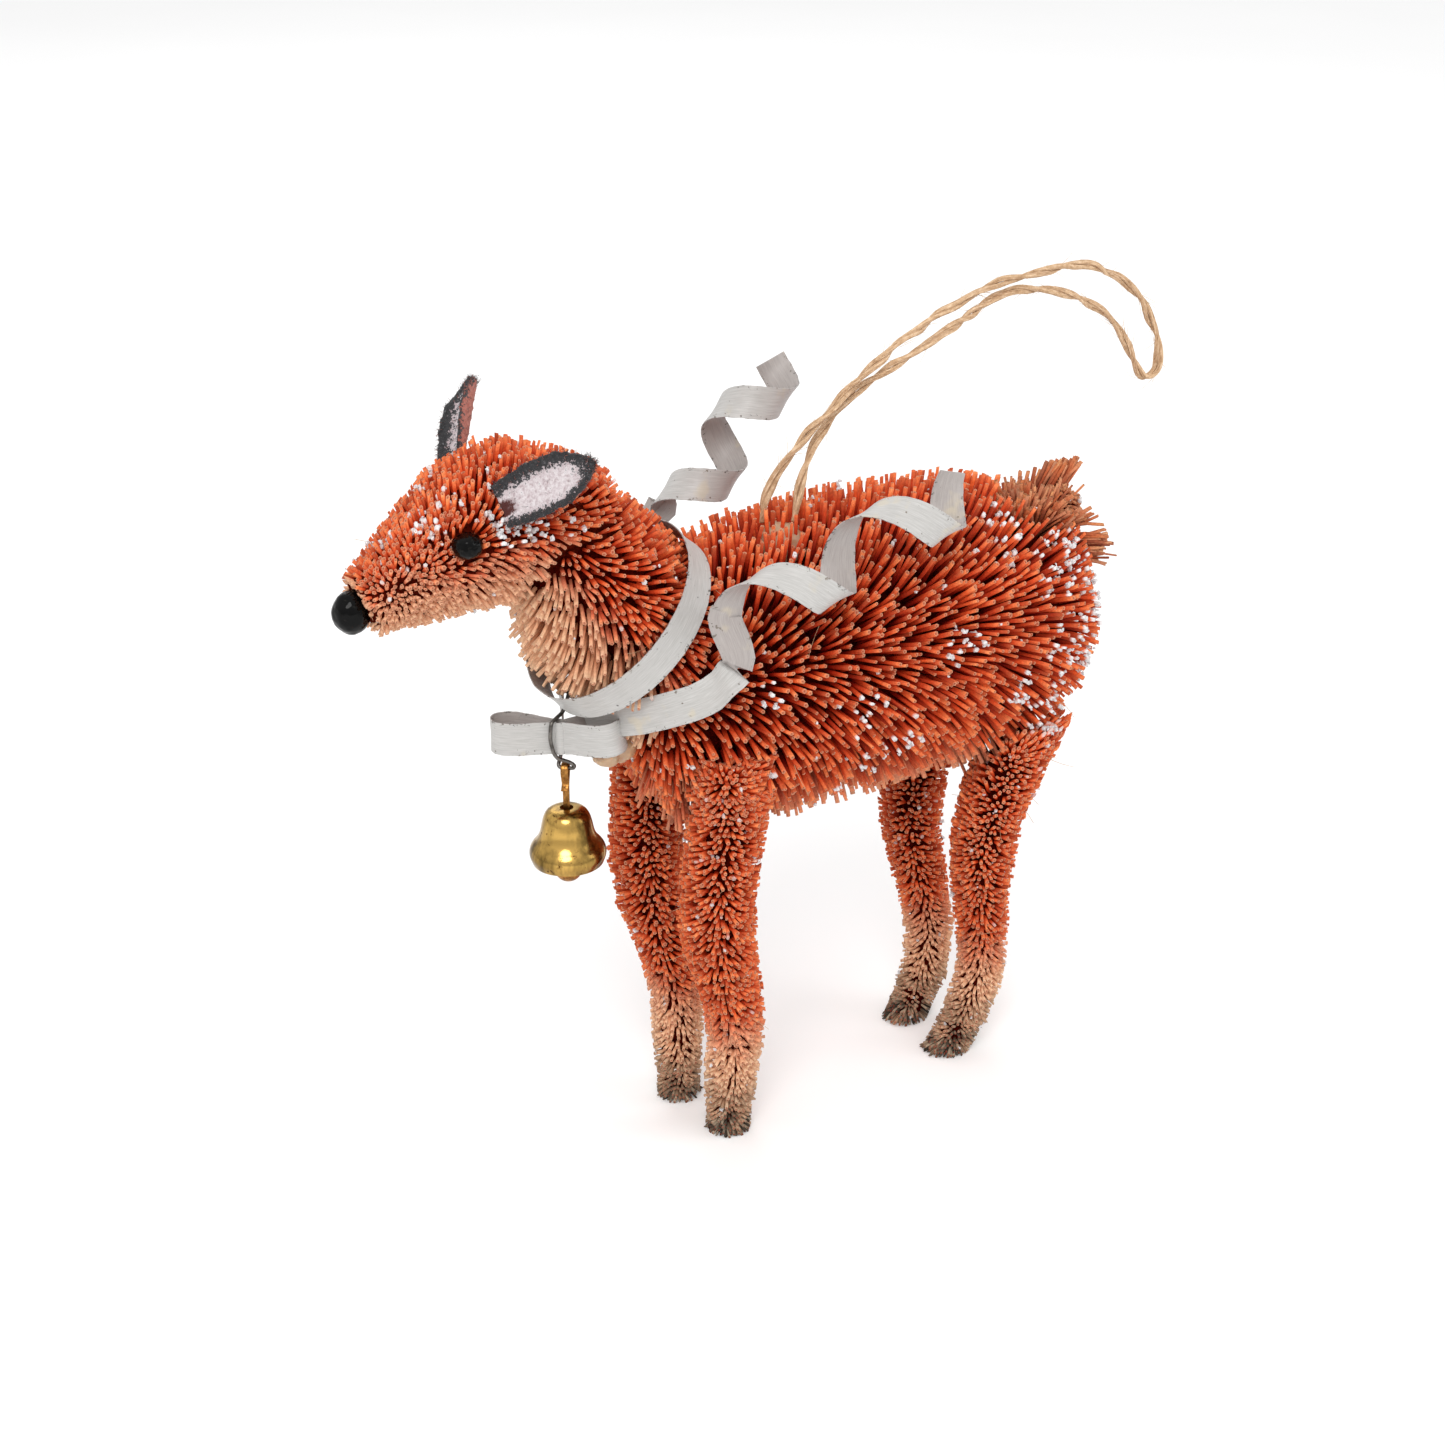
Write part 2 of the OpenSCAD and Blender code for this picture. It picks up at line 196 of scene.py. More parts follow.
# ---------------------------------------------------------------- paths
def smooth_path(points, steps):
    """Points of a Catmull-Rom curve through given points, steps to each span."""
    p = np.array(points, float)
    out = []
    for i in range(len(p) - 1):
        a, b, c, d = p[max(i - 1, 0)], p[i], p[i + 1], p[min(i + 2, len(p) - 1)]
        for k in range(steps):
            t = k / steps
            out.append((2 * b + (c - a) * t + (2 * a - 5 * b + 4 * c - d) * t**2 + (3 * b - a - 3 * c + d) * t**3) / 2)
    out.append(p[-1])
    return np.array(out)


def unit(v):
    v = np.asarray(v, float)
    return v / np.maximum(np.linalg.norm(v, axis=-1, keepdims=True), 1e-12)


def headings(path):
    return unit(np.gradient(np.asarray(path, float), axis=0))


def carried_sides(path):
    """A side direction at each point that turns as little as it can along the path."""
    t = headings(path)
    side = unit(np.cross(t[0], (0, 1, 0) if abs(t[0][1]) < 0.9 else (1, 0, 0)))
    out = []
    for heading in t:
        side = unit(side - heading * (side @ heading))
        out.append(side)
    return t, np.array(out)


def tube(path, radius, sides, twist=None):
    """Points and faces of a round tube with capped ends. radius may change along it."""
    path = np.asarray(path, float)
    t, s = carried_sides(path)
    b = np.cross(t, s)
    radius = np.broadcast_to(radius, len(path))
    angles = np.arange(sides) * 2 * math.pi / sides
    ring = np.cos(angles)[None, :, None] * s[:, None] + np.sin(angles)[None, :, None] * b[:, None]
    points = (path[:, None] + ring * radius[:, None, None]).reshape(-1, 3)
    faces = []
    for i in range(len(path) - 1):
        for j in range(sides):
            k = (j + 1) % sides
            faces.append((i * sides + j, i * sides + k, (i + 1) * sides + k, (i + 1) * sides + j))
    last = (len(path) - 1) * sides
    faces.append(tuple(range(sides - 1, -1, -1)))
    faces.append(tuple(last + j for j in range(sides)))
    return points, faces


def joined(parts):
    points, faces, base = [], [], 0
    for p, f in parts:
        points.append(p)
        faces += [tuple(base + i for i in face) for face in f]
        base += len(p)
    return np.concatenate(points), faces


def twisted_pair(path, radius, turn_length, sides=8, phase=0.0):
    """Two strands wound round a path, each of the given radius."""
    path = np.asarray(path, float)
    t, s = carried_sides(path)
    b = np.cross(t, s)
    run = np.concatenate([[0], np.cumsum(np.linalg.norm(np.diff(path, axis=0), axis=1))])
    parts = []
    for strand in (0, math.pi):
        angle = phase + strand + run / turn_length * 2 * math.pi
        line = path + radius * (np.cos(angle)[:, None] * s + np.sin(angle)[:, None] * b)
        parts.append(tube(line, radius, sides))
    return joined(parts)


# ---------------------------------------------------------------- bristles
def cad_shape(name):
    """Points and triangles of a CAD node, or of a made piece."""
    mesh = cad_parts[name].data if isinstance(name, str) else name.data
    mesh.calc_loop_triangles()
    points = np.zeros(len(mesh.vertices) * 3)
    mesh.vertices.foreach_get("co", points)
    corners = np.zeros(len(mesh.loop_triangles) * 3, int)
    mesh.loop_triangles.foreach_get("vertices", corners)
    return points.reshape(-1, 3), corners.reshape(-1, 3)


def cad_tree(*names):
    points, corners, base = [], [], 0
    for name in names:
        p, c = cad_shape(name)
        points += [Vector(q) for q in p]
        corners += (c + base).tolist()
        base += len(p)
    return BVHTree.FromPolygons(points, corners)


def scatter(name, spacing, rng):
    """Points spread over a CAD node's surface, no two nearer than spacing, with the outward normals."""
    points, corners = cad_shape(name)
    a, b, c = (points[corners[:, i]] for i in range(3))
    cross = np.cross(b - a, c - a)
    area = np.linalg.norm(cross, axis=1) / 2
    tries = int(5 * area.sum() / spacing**2)
    pick = rng.choice(len(area), tries, p=area / area.sum())
    u, v = rng.random(tries), rng.random(tries)
    over = u + v > 1
    u[over], v[over] = 1 - u[over], 1 - v[over]
    spots = a[pick] + u[:, None] * (b - a)[pick] + v[:, None] * (c - a)[pick]
    normals = unit(cross)[pick]
    cells, kept = {}, []
    keys = np.floor(spots / spacing).astype(int)
    near = [(i, j, k) for i in (-1, 0, 1) for j in (-1, 0, 1) for k in (-1, 0, 1)]
    limit = spacing**2
    for i, (key, spot) in enumerate(zip(keys.tolist(), spots.tolist())):
        clash = False
        for step in near:
            for other in cells.get((key[0] + step[0], key[1] + step[1], key[2] + step[2]), ()):
                if (spot[0] - other[0]) ** 2 + (spot[1] - other[1]) ** 2 + (spot[2] - other[2]) ** 2 < limit:
                    clash = True
                    break
            if clash:
                break
        if not clash:
            cells.setdefault(tuple(key), []).append(spot)
            kept.append(i)
    return spots[kept], normals[kept]


def inside(tree, point):
    hit, normal, _, _ = tree.find_nearest(point)
    return hit is not None and (point - hit).dot(normal) < 0


def core_line(points):
    return smooth_path(points, 12)


def nearest_on(path, spots):
    """For each spot the nearest point of a path, and how far along the path it is, from 0 to 1."""
    d = ((spots[:, None] - path[None]) ** 2).sum(axis=2)
    best = d.argmin(axis=1)
    return path[best], best / (len(path) - 1)


def grow(name, roots, tips, normals, radius, shade, sides=5, rings=(0, 0.55, 1), sag=0.0, seed=1, flat=0.85):
    """One mesh of bristles: each a bent, slightly flat prism with a cut end whose middle is sunk.
    shade gives per bristle the tan, grey and frost amounts."""
    rng = np.random.default_rng(seed)
    n, k = len(roots), len(rings)
    d = tips - roots
    length = np.linalg.norm(d, axis=1)
    heading = unit(d)
    side = unit(np.cross(heading, rng.normal(size=(n, 3))))
    other = np.cross(heading, side)
    radius = np.broadcast_to(radius, n)
    bend = (rng.normal(size=(n, 1)) * side + rng.normal(size=(n, 1)) * other) * (length * 0.035)[:, None]
    bend[:, 2] -= sag * length
    angles = np.arange(sides) * 2 * math.pi / sides
    ring = np.cos(angles)[None, :, None] * side[:, None] + flat * np.sin(angles)[None, :, None] * other[:, None]
    width = rng.uniform(0.85, 1.1, (n, k))
    width[:, 0] *= 0.6
    points = np.zeros((n, k * sides + 1, 3))
    along = np.zeros((n, k * sides + 1))
    for i, f in enumerate(rings):
        middle = roots + d * f + bend * (4 * f * (1 - f))
        circle = ring * (radius * width[:, i])[:, None, None]
        if i == k - 1:
            lean = np.clip((heading * normals).sum(axis=1), 0.45, 1)
            slide = -(circle * normals[:, None]).sum(axis=2) / lean[:, None]
            slide = np.clip(slide, -1.3 * radius[:, None], 1.3 * radius[:, None])
            circle = circle + slide[:, :, None] * heading[:, None]
        points[:, i * sides:(i + 1) * sides] = middle[:, None] + circle
        along[:, i * sides:(i + 1) * sides] = f
    points[:, -1] = tips - heading * (radius * 0.55)[:, None]
    along[:, -1] = 1
    # Depth below the cut end, which the colour ramps turn into painted shade between bristles
    along = np.clip(1 - (1 - along) * length[:, None] / SHADE_DEPTH, 0, 1)
    quads = np.array([
        (i * sides + j, i * sides + (j + 1) % sides, (i + 1) * sides + (j + 1) % sides, (i + 1) * sides + j)
        for i in range(k - 1) for j in range(sides)])
    fan = np.array([((k - 1) * sides + j, (k - 1) * sides + (j + 1) % sides, k * sides) for j in range(sides)])
    base = (np.arange(n) * (k * sides + 1))[:, None, None]
    loops = np.concatenate([(quads[None] + base).reshape(n, -1), (fan[None] + base).reshape(n, -1)], axis=1)
    mesh = bpy.data.meshes.new(name)
    mesh.vertices.add(n * (k * sides + 1))
    mesh.vertices.foreach_set("co", points.ravel())
    mesh.loops.add(loops.size)
    mesh.loops.foreach_set("vertex_index", loops.ravel())
    sizes = np.tile(np.array([4] * len(quads) + [3] * len(fan)), n)
    mesh.polygons.add(len(sizes))
    mesh.polygons.foreach_set("loop_start", np.concatenate([[0], np.cumsum(sizes)[:-1]]))
    mesh.polygons.foreach_set("loop_total", sizes)
    mesh.update(calc_edges=True)

    # grain holds the depth below the cut end (for the painted shade), a per-bristle tint, the rim and the hollow
    per_corner = np.zeros((n, loops.shape[1], 4))
    local = np.concatenate([quads.ravel(), fan.ravel()])
    per_corner[:, :, 0] = along[:, local]
    per_corner[:, :, 1] = rng.random(n)[:, None]
    rim = np.concatenate([np.zeros(quads.size), np.tile([1, 1, 0], sides)])
    hollow = np.concatenate([np.zeros(quads.size), np.tile([0, 0, 1], sides)])
    per_corner[:, :, 2], per_corner[:, :, 3] = rim, hollow
    mesh.color_attributes.new("grain", "FLOAT_COLOR", "CORNER").data.foreach_set("color", per_corner.ravel())
    coat = np.ones((n, loops.shape[1], 4))
    coat[:, :, :3] = shade[:, None, :]
    mesh.color_attributes.new("coat", "FLOAT_COLOR", "CORNER").data.foreach_set("color", coat.ravel())

    # A compact bake layout: one cell per bristle, its sides as upright strips and its cut end above them
    columns = max(1, math.ceil(math.sqrt(n * 1.6)))
    rows = math.ceil(n / columns)
    cell = np.stack([np.arange(n) % columns / columns, np.arange(n) // columns / rows], axis=1)
    uv = np.zeros((loops.shape[1], 2))
    at = 0
    for i in range(k - 1):
        for j in range(sides):
            low, high = rings[i] * 0.8, rings[i + 1] * 0.8
            uv[at:at + 4] = [(j / sides, low), ((j + 1) / sides, low), ((j + 1) / sides, high), (j / sides, high)]
            at += 4
    for j in range(sides):
        uv[at:at + 3] = [(j / sides, 0.84), ((j + 1) / sides, 0.84), ((j + 0.5) / sides, 0.98)]
        at += 3
    uv = 0.04 + 0.92 * uv
    full = cell[:, None] + uv[None] * np.array([1 / columns, 1 / rows])
    mesh.uv_layers.new(name="OFBake").data.foreach_set("uv", full.ravel())
    return new_object(name, mesh, smooth=True)


def trimmed(roots, tips, gap, obstacles):
    """Bristles that would poke through the ribbon, a bead or an ear stop short of it."""
    out = tips.copy()
    for i, (root, tip) in enumerate(zip(roots, tips)):
        a, b = Vector(root), Vector(tip)
        d = b - a
        clear = min(1.4 * MM, 0.5 * d.length)
        hit, _, _, reach = obstacles.ray_cast(a + d.normalized() * clear, d.normalized(), d.length - clear + gap)
        if hit is not None:
            out[i] = a + d.normalized() * max(clear + reach - gap, 0.3 * d.length)
    return out


def clumped(points, reach):
    """A drift for each point that changes slowly over the surface, so that neighbours lean together."""
    out = np.zeros_like(points)
    for i, p in enumerate(points):
        out[i] = noise.noise_vector(Vector(p) * 230) * 0.7 + noise.noise_vector(Vector(p) * 620) * 0.5
    return out * reach


tips_of = {}


def brush(name, cad, core, spacing, radius, shade, covered=(), seed=1, ragged=0.03, clump=0.6, short=0.3,
          rings=(0, 0.55, 1), pull=0.9, shift=0.0, limit=1.0,
          start=1.0, share=1.0, longer=None, only=None, raised=0.0):
    """Bristles whose tips lie on a CAD node's surface and whose roots lie on its wire core."""
    rng = np.random.default_rng(seed)
    spots, normals = scatter(cad, spacing * MM, rng)
    others = [cad_tree(other) for other in covered]
    keep = np.array([not any(inside(tree, Vector(p)) for tree in others) for p in spots])
    if only:
        keep &= only(spots)
    spots, normals = spots[keep], normals[keep]
    if raised:
        high = (spots[:, 2] > spots[:, 2].max() - (raised + 4) * MM) & (normals[:, 1] * np.sign(spots[:, 1]) > -0.2)
        spots = np.concatenate([spots, spots[high] + (0, 0, raised * MM)])
        normals = np.concatenate([normals, normals[high]])
    if longer:
        spots = spots + normals * longer(spots, normals)[:, None] * MM
    line = smooth_path(core, 16) * MM
    apart = ((spots[:, None] - line[None]) ** 2).sum(axis=2)
    where = apart.argmin(axis=1) / (len(line) - 1)
    where = 0.5 + (where - 0.5) * pull + shift + rng.normal(size=len(where)) * 0.01
    roots = line[(np.clip(where, 0, limit) * (len(line) - 1)).round().astype(int)]
    n = len(spots)
    reach = 1 + rng.normal(size=n) * ragged
    inner = rng.random(n) < short
    reach[inner] = rng.uniform(0.84, 0.96, inner.sum())
    reach = np.minimum(reach, 1.03)
    tips = roots + (spots - roots) * share * reach[:, None] + clumped(spots, clump * MM)
    tips = trimmed(roots, tips, 0.3 * MM, obstacles)
    tips[:, 2] = np.maximum(tips[:, 2], 0.2 * MM)
    shade_of = shade(tips, normals)
    roots = roots + unit(tips - roots) * start * MM
    tips_of[name] = (tips, normals, shade_of)
    thick = radius * MM * rng.uniform(0.8, 1.15, n)
    return grow(name, roots, tips, normals, thick, shade_of, rings=rings, seed=seed + 50)


def underbrush(name, cad, core, share):
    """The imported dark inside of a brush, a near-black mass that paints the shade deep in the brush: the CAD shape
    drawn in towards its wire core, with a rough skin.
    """
    points, corners = cad_shape(cad)
    line = smooth_path(core, 16) * MM
    near = line[((points[:, None] - line[None]) ** 2).sum(axis=2).argmin(axis=1)]
    mesh = bpy.data.meshes.new(name)
    mesh.from_pydata((near + (points - near) * share).tolist(), [], corners.tolist())
    mesh.update()
    piece = new_object(name, mesh)
    remesh = piece.modifiers.new("even", "REMESH")
    remesh.mode = "VOXEL"
    remesh.voxel_size = 0.9 * MM
    apply_modifiers(piece)
    for vertex in piece.data.vertices:
        vertex.co += noise.noise_vector(vertex.co * 900) * 0.5 * MM
    piece.data.polygons.foreach_set("use_smooth", [True] * len(piece.data.polygons))
    return piece


def apply_modifiers(piece):
    shown = piece.evaluated_get(bpy.context.evaluated_depsgraph_get())
    mesh = bpy.data.meshes.new_from_object(shown)
    piece.modifiers.clear()
    piece.data = mesh


def step(x, a, b):
    t = np.clip((np.asarray(x) - a) / (b - a), 0, 1)
    return t * t * (3 - 2 * t)


def mottle(points, scale, offset=0.0):
    return np.array([noise.noise(Vector(p) * scale + Vector((offset, offset, 0))) for p in points])


# Places where snow flock lies thick: centre and reach, in millimetres
DRIFTS = (
    ((50, -13, 84), 7), ((54, -11, 76), 7), ((48, -16, 70), 6), ((54, -10, 63), 6), ((44, -16.5, 60), 5),
    ((38, -17.5, 66), 4), ((45, -14, 82), 5), ((8, -17.5, 70), 4.5), ((10, -17, 58), 4.5), ((-6, -17, 76), 3),
    ((26, -18, 76), 4), ((16, -17, 62), 3), ((38, -10, 88), 5), ((22, -6, 88), 4), ((4, -8, 87), 4),
    ((56, 8, 80), 6), ((50, 14, 72), 6), ((20, 17, 74), 4), ((-2, 17, 66), 4), ((34, 14, 82), 4),
    ((-38.5, -10, 102), 4), ((-41, -7, 104), 3), ((-49, -3, 103), 2.5), ((-52, 0, 100), 2.5),
)


def frost_on(points, share=0.0):
    """How snowy each point is: full within a drift, and here and there outside them."""
    p = points / MM
    drift = np.zeros(len(p))
    for centre, reach in DRIFTS:
        drift = np.maximum(drift, 1 - np.linalg.norm(p - np.array(centre), axis=1) / reach)
    fine = mottle(points, 900, 7.0)
    return np.clip((drift > 0) * (drift + fine * 1.1 + 0.1 > 0.42) + (fine > 0.62 - share) * 0.8, 0, 1)


def body_coat(points, normals):
    p = points / MM
    tan = step(p[:, 2], 57, 49) * (0.5 + 0.45 * mottle(points, 160))
    return np.stack([np.clip(tan, 0, 1), 0 * tan, frost_on(points)], axis=1)


def neck_coat(points, normals):
    p = points / MM
    throat = -(normals[:, 0] + normals[:, 2]) / math.sqrt(2)
    tan = step(throat + 0.2 * mottle(points, 200), 0.15, 0.75) * step(p[:, 2], 99, 92)
    return np.stack([tan, 0 * tan, 0.6 * frost_on(points)], axis=1)


def throat_length(points, normals):
    """How many millimetres the bristles low on the throat stand beyond the trimmed shape."""
    throat = -(normals[:, 0] + normals[:, 2]) / math.sqrt(2)
    return 2.2 * step(throat, 0.3, 0.9) * step(points[:, 2] / MM, 88, 80) * step(points[:, 2] / MM, 72, 78)


def head_coat(points, normals):
    p = points / MM
    low = -normals[:, 2] + step(p[:, 0], -44, -56) * 0.5 + 0.25 * mottle(points, 260)
    tan = 0.8 * step(low, -0.1, 0.6)
    return np.stack([tan, 0 * tan, frost_on(points, 0.14) * (normals[:, 2] > 0)], axis=1)


def tail_coat(points, normals):
    tan = 0.25 + 0.2 * mottle(points, 300)
    return np.stack([tan, 0.06 + 0 * tan, 0 * tan], axis=1)


def leg_coat(points, normals):
    p = points / MM
    rough = mottle(points, 300) * 3
    tan = step(p[:, 2] + rough, 23, 11)
    return np.stack([tan, 0.5 * step(p[:, 2] + rough, 10.5, 5), 0.5 * frost_on(points)], axis=1)


def fringe_length(points, normals):
    """How many millimetres longer the body's fringe is where it hangs over the tops of the legs."""
    p = points / MM
    over_legs = np.maximum(step(np.abs(p[:, 0] + 9), 9, 3), step(np.abs(p[:, 0] - 42), 9, 3))
    return 3.2 * over_legs * step(-normals[:, 2], 0.25, 0.8) * (0.6 + mottle(points, 300))


def off_body_gaps(points):
    """Keeps the body's bristles away from the brown clusters on the rump and from the tops of the front legs."""
    p = points / MM
    rump = np.linalg.norm(p - (48.6, -3, 89.4), axis=1) > 6.8
    shoulder = np.hypot(p[:, 0] + 9.5, np.abs(p[:, 1]) - 11.5) > 6.4
    return rump & (shoulder | (p[:, 2] > 60.5))


def hoof_coat(points, normals):
    p = points / MM
    grey = 0.45 + 0.6 * mottle(points, 420) + 0.5 * step(p[:, 2], 5, 0.5)
    return np.stack([1 + 0 * grey, np.clip(grey, 0, 1), 0 * grey], axis=1)


def bristle_material(name, root, middle, upper, tip, rim, hollow):
    made, tree, shader = material(name, 0.62)
    along, hue, rims, hollows = channels(tree, "grain")
    tan, grey, frost, _ = channels(tree, "coat")
    # Darker towards the root: painted shade deep in the brush; lighter towards the cut end
    base = ramp(tree, along, [(0.15, root), (0.5, middle), (0.82, upper), (1.0, tip)])
    darker = ramp(tree, hue, [(0.0, (0.55, 0.42, 0.4)), (0.35, (0.95, 0.9, 0.9)), (0.8, (1.1, 1.25, 1.2)),
                              (1.0, (1.25, 1.9, 2.0))])
    base = blend(tree, 1.0, base, darker, "MULTIPLY")
    streak = speckle(tree, 2600, 2)
    streaks = ramp(tree, streak, [(0.35, (0.78, 0.7, 0.68)), (0.65, (1.15, 1.15, 1.15))])
    base = blend(tree, 0.8, base, streaks, "MULTIPLY")
    # The tan coat is also painted darker towards the root, as shade deep in the brush
    pale = ramp(tree, along, [(0.15, (0.16, 0.05, 0.025)), (0.5, (0.48, 0.2, 0.1)), (0.85, (0.76, 0.42, 0.25)),
                              (1.0, (0.8, 0.52, 0.33))])
    base = blend(tree, tan, base, blend(tree, 0.6, pale, streaks, "MULTIPLY"))
    sooty = ramp(tree, hue, [(0.0, (0.02, 0.015, 0.011)), (0.55, (0.1, 0.075, 0.055)), (1.0, (0.4, 0.31, 0.22))])
    base = blend(tree, grey, base, sooty)
    base = blend(tree, maths(tree, "MULTIPLY", rims, maths(tree, "SUBTRACT", 1.0, grey), True), base, rim)
    base = blend(tree, hollows, base, hollow)
    snowy = maths(tree, "MULTIPLY", frost, spread(tree, along, 0.9, 0.985), True)
    base = blend(tree, snowy, base, (0.84, 0.82, 0.82))
    tree.links.new(base, shader.inputs["Base Color"])
    shader.inputs["Specular IOR Level"].default_value = 0.1
    bump(tree, shader, streak, 0.35, 0.0001)
    return made


# ---------------------------------------------------------------- ribbon
def ribbon(name, centre, across, width, thickness, closed=False, cup=0.0, seed=1, columns=9, outside=1):
    """A metal strip. across is its width direction at each row; cup bows it, and its edges wander a little."""
    rng = np.random.default_rng(seed)
    centre, across = np.asarray(centre, float), unit(across)
    n = len(centre)
    if closed:
        t = unit(np.roll(centre, -1, axis=0) - np.roll(centre, 1, axis=0))
    else:
        t = headings(centre)
    across = unit(across - t * (across * t).sum(axis=1, keepdims=True))
    out = np.cross(t, across)
    u = np.linspace(-1, 1, columns)
    run = np.concatenate([[0], np.cumsum(np.linalg.norm(np.diff(centre, axis=0), axis=1))])
    fray = np.array([[noise.noise(Vector((r * 900, 9 * seed + side, 0))) for side in (0, 5)] for r in run])
    if closed:
        fade = np.minimum(1, np.minimum(np.arange(n), np.arange(n)[::-1]) / 6)
        fray *= fade[:, None]
    half = width / 2 * (1 + 0.035 * fray)
    edge = np.where(u[None] < 0, half[:, :1], half[:, 1:]) * np.abs(u)[None] * np.sign(u)[None]
    lift = cup * (1 - u**2)
    ripple = np.array([[noise.noise(Vector((r * 420, 3 * seed, q * 0.8))) for q in u] for r in run]) * 0.06 * MM
    if closed:
        ripple *= fade[:, None]
    middle = centre[:, None] + across[:, None] * edge[..., None] + out[:, None] * (lift[None] + ripple)[..., None]
    thin = np.where(np.abs(u) > 0.99, 0.55, 1.0) * thickness / 2
    top = middle + out[:, None] * thin[None, :, None]
    bottom = middle - out[:, None] * thin[None, :, None]
    points = np.concatenate([top.reshape(-1, 3), bottom.reshape(-1, 3)])
    faces = []
    c, base = columns, n * columns
    for i in range(n if closed else n - 1):
        k = (i + 1) % n
        for j in range(c - 1):
            faces.append((i * c + j, k * c + j, k * c + j + 1, i * c + j + 1))
            faces.append((base + i * c + j, base + i * c + j + 1, base + k * c + j + 1, base + k * c + j))
        faces.append((i * c, base + i * c, base + k * c, k * c))
        faces.append((i * c + c - 1, k * c + c - 1, base + k * c + c - 1, base + i * c + c - 1))
    if not closed:
        last = (n - 1) * c
        for j in range(c - 1):
            faces.append((j, j + 1, base + j + 1, base + j))
            faces.append((last + j, base + last + j, base + last + j + 1, last + j + 1))
    piece = mesh_of(name, points, faces)
    strip = np.zeros((len(points), 4))
    strip[:, 0] = np.tile(np.tile((u + 1) / 2, n), 2)
    strip[:, 1] = np.tile(np.repeat(run * 100, c), 2)
    strip[:, 2] = np.repeat([outside, 1 - outside], n * c)
    strip[:, 3] = 1
    piece.data.color_attributes.new("strip", "FLOAT_COLOR", "POINT").data.foreach_set("color", strip.ravel())
    piece.modifiers.new("edges", "EDGE_SPLIT").split_angle = math.radians(50)
    apply_modifiers(piece)
    return piece


def paint_material():
    made, tree, shader = material("chipped_white_paint", 0.42)
    u, v, side, _ = channels(tree, "strip")
    place_at = tree.nodes.new("ShaderNodeCombineXYZ")
    for socket, value, factor in ((0, u, 34.0), (1, v, 3.2), (2, side, 9.0)):
        tree.links.new(maths(tree, "MULTIPLY", value, factor), place_at.inputs[socket])
    streak = speckle(tree, 1.0, 4, 0.65, place_at.outputs[0])
    paint = ramp(tree, streak, [(0.28, (0.38, 0.37, 0.355)), (0.5, (0.45, 0.44, 0.425)), (0.7, (0.53, 0.52, 0.505))])
    inner = blend(tree, 1.0, paint, (0.80, 0.74, 0.73), "MULTIPLY")
    paint = blend(tree, side, inner, paint)
    blotch = speckle(tree, 170, 3)
    yellowed = spread(tree, blotch, 0.6, 0.7, 0.0, 0.35)
    paint = blend(tree, yellowed, paint, (0.62, 0.52, 0.33))
    edge = maths(tree, "MULTIPLY", maths(tree, "ABSOLUTE", maths(tree, "SUBTRACT", u, 0.5)), 2.0)
    flakes = speckle(tree, 1500, 4, 0.7)
    wear = maths(tree, "ADD", maths(tree, "MULTIPLY", edge, 0.3), flakes)
    chipped = spread(tree, wear, 0.86, 0.885)
    pits = spread(tree, speckle(tree, 800, 2, 0.5), 0.735, 0.76)
    bare = maths(tree, "MAXIMUM", chipped, pits, True)
    metal = ramp(tree, blotch, [(0.4, (0.09, 0.085, 0.08)), (0.6, (0.2, 0.17, 0.14))])
    colour = blend(tree, bare, paint, metal)
    tree.links.new(colour, shader.inputs["Base Color"])
    rough = ramp(tree, streak, [(0.3, (0.5,) * 3), (0.7, (0.36,) * 3)])
    tree.links.new(rough, shader.inputs["Roughness"])
    height = maths(tree, "SUBTRACT", streak, maths(tree, "MULTIPLY", bare, 0.8))
    bump(tree, shader, height, 0.35, 0.0001)
    return made


# ---------------------------------------------------------------- plain materials
def metal_material(name, base, dark, roughness, scale, specks=0.62, stretch=1.0, wear_and_reflection_tone=0.4):
    made, tree, shader = material(name, roughness)
    shader.inputs["Metallic"].default_value = 1.0
    drawn = node(tree, "ShaderNodeVectorMath", operation="MULTIPLY")
    tree.links.new(tree.nodes.new("ShaderNodeTexCoord").outputs["Object"], drawn.inputs[0])
    drawn.inputs[1].default_value = (1, 1, stretch)
    # The darker end of the tone: wear on steel and strap; on the bell, stretched upright, it paints dark reflection
    # bands
    tone = speckle(tree, scale, 5, 0.65, drawn.outputs[0])
    colour = ramp(tree, tone, [(0.36, base), (0.64, tuple(c * wear_and_reflection_tone for c in base))])
    spots = spread(tree, speckle(tree, scale * 3.1, 4, 0.7), specks, specks + 0.06)
    colour = blend(tree, spots, colour, dark)
    tree.links.new(colour, shader.inputs["Base Color"])
    rough = maths(tree, "ADD", maths(tree, "MULTIPLY", tone, 0.22), maths(tree, "MULTIPLY", spots, 0.35))
    tree.links.new(maths(tree, "ADD", rough, roughness - 0.1, True), shader.inputs["Roughness"])
    bump(tree, shader, tone, 0.12, 0.00012)
    return made


def bead_material():
    made, tree, shader = material("glossy_black_bead", 0.12)
    dust = speckle(tree, 1400, 4, 0.7)
    colour = ramp(tree, dust, [(0.6, (0.0015, 0.0015, 0.0015)), (0.8, (0.02, 0.018, 0.015))])
    tree.links.new(colour, shader.inputs["Base Color"])
    tree.links.new(spread(tree, dust, 0.58, 0.8, 0.07, 0.35), shader.inputs["Roughness"])
    shader.inputs["Specular IOR Level"].default_value = 0.13
    bump(tree, shader, dust, 0.03, 0.0001)
    return made


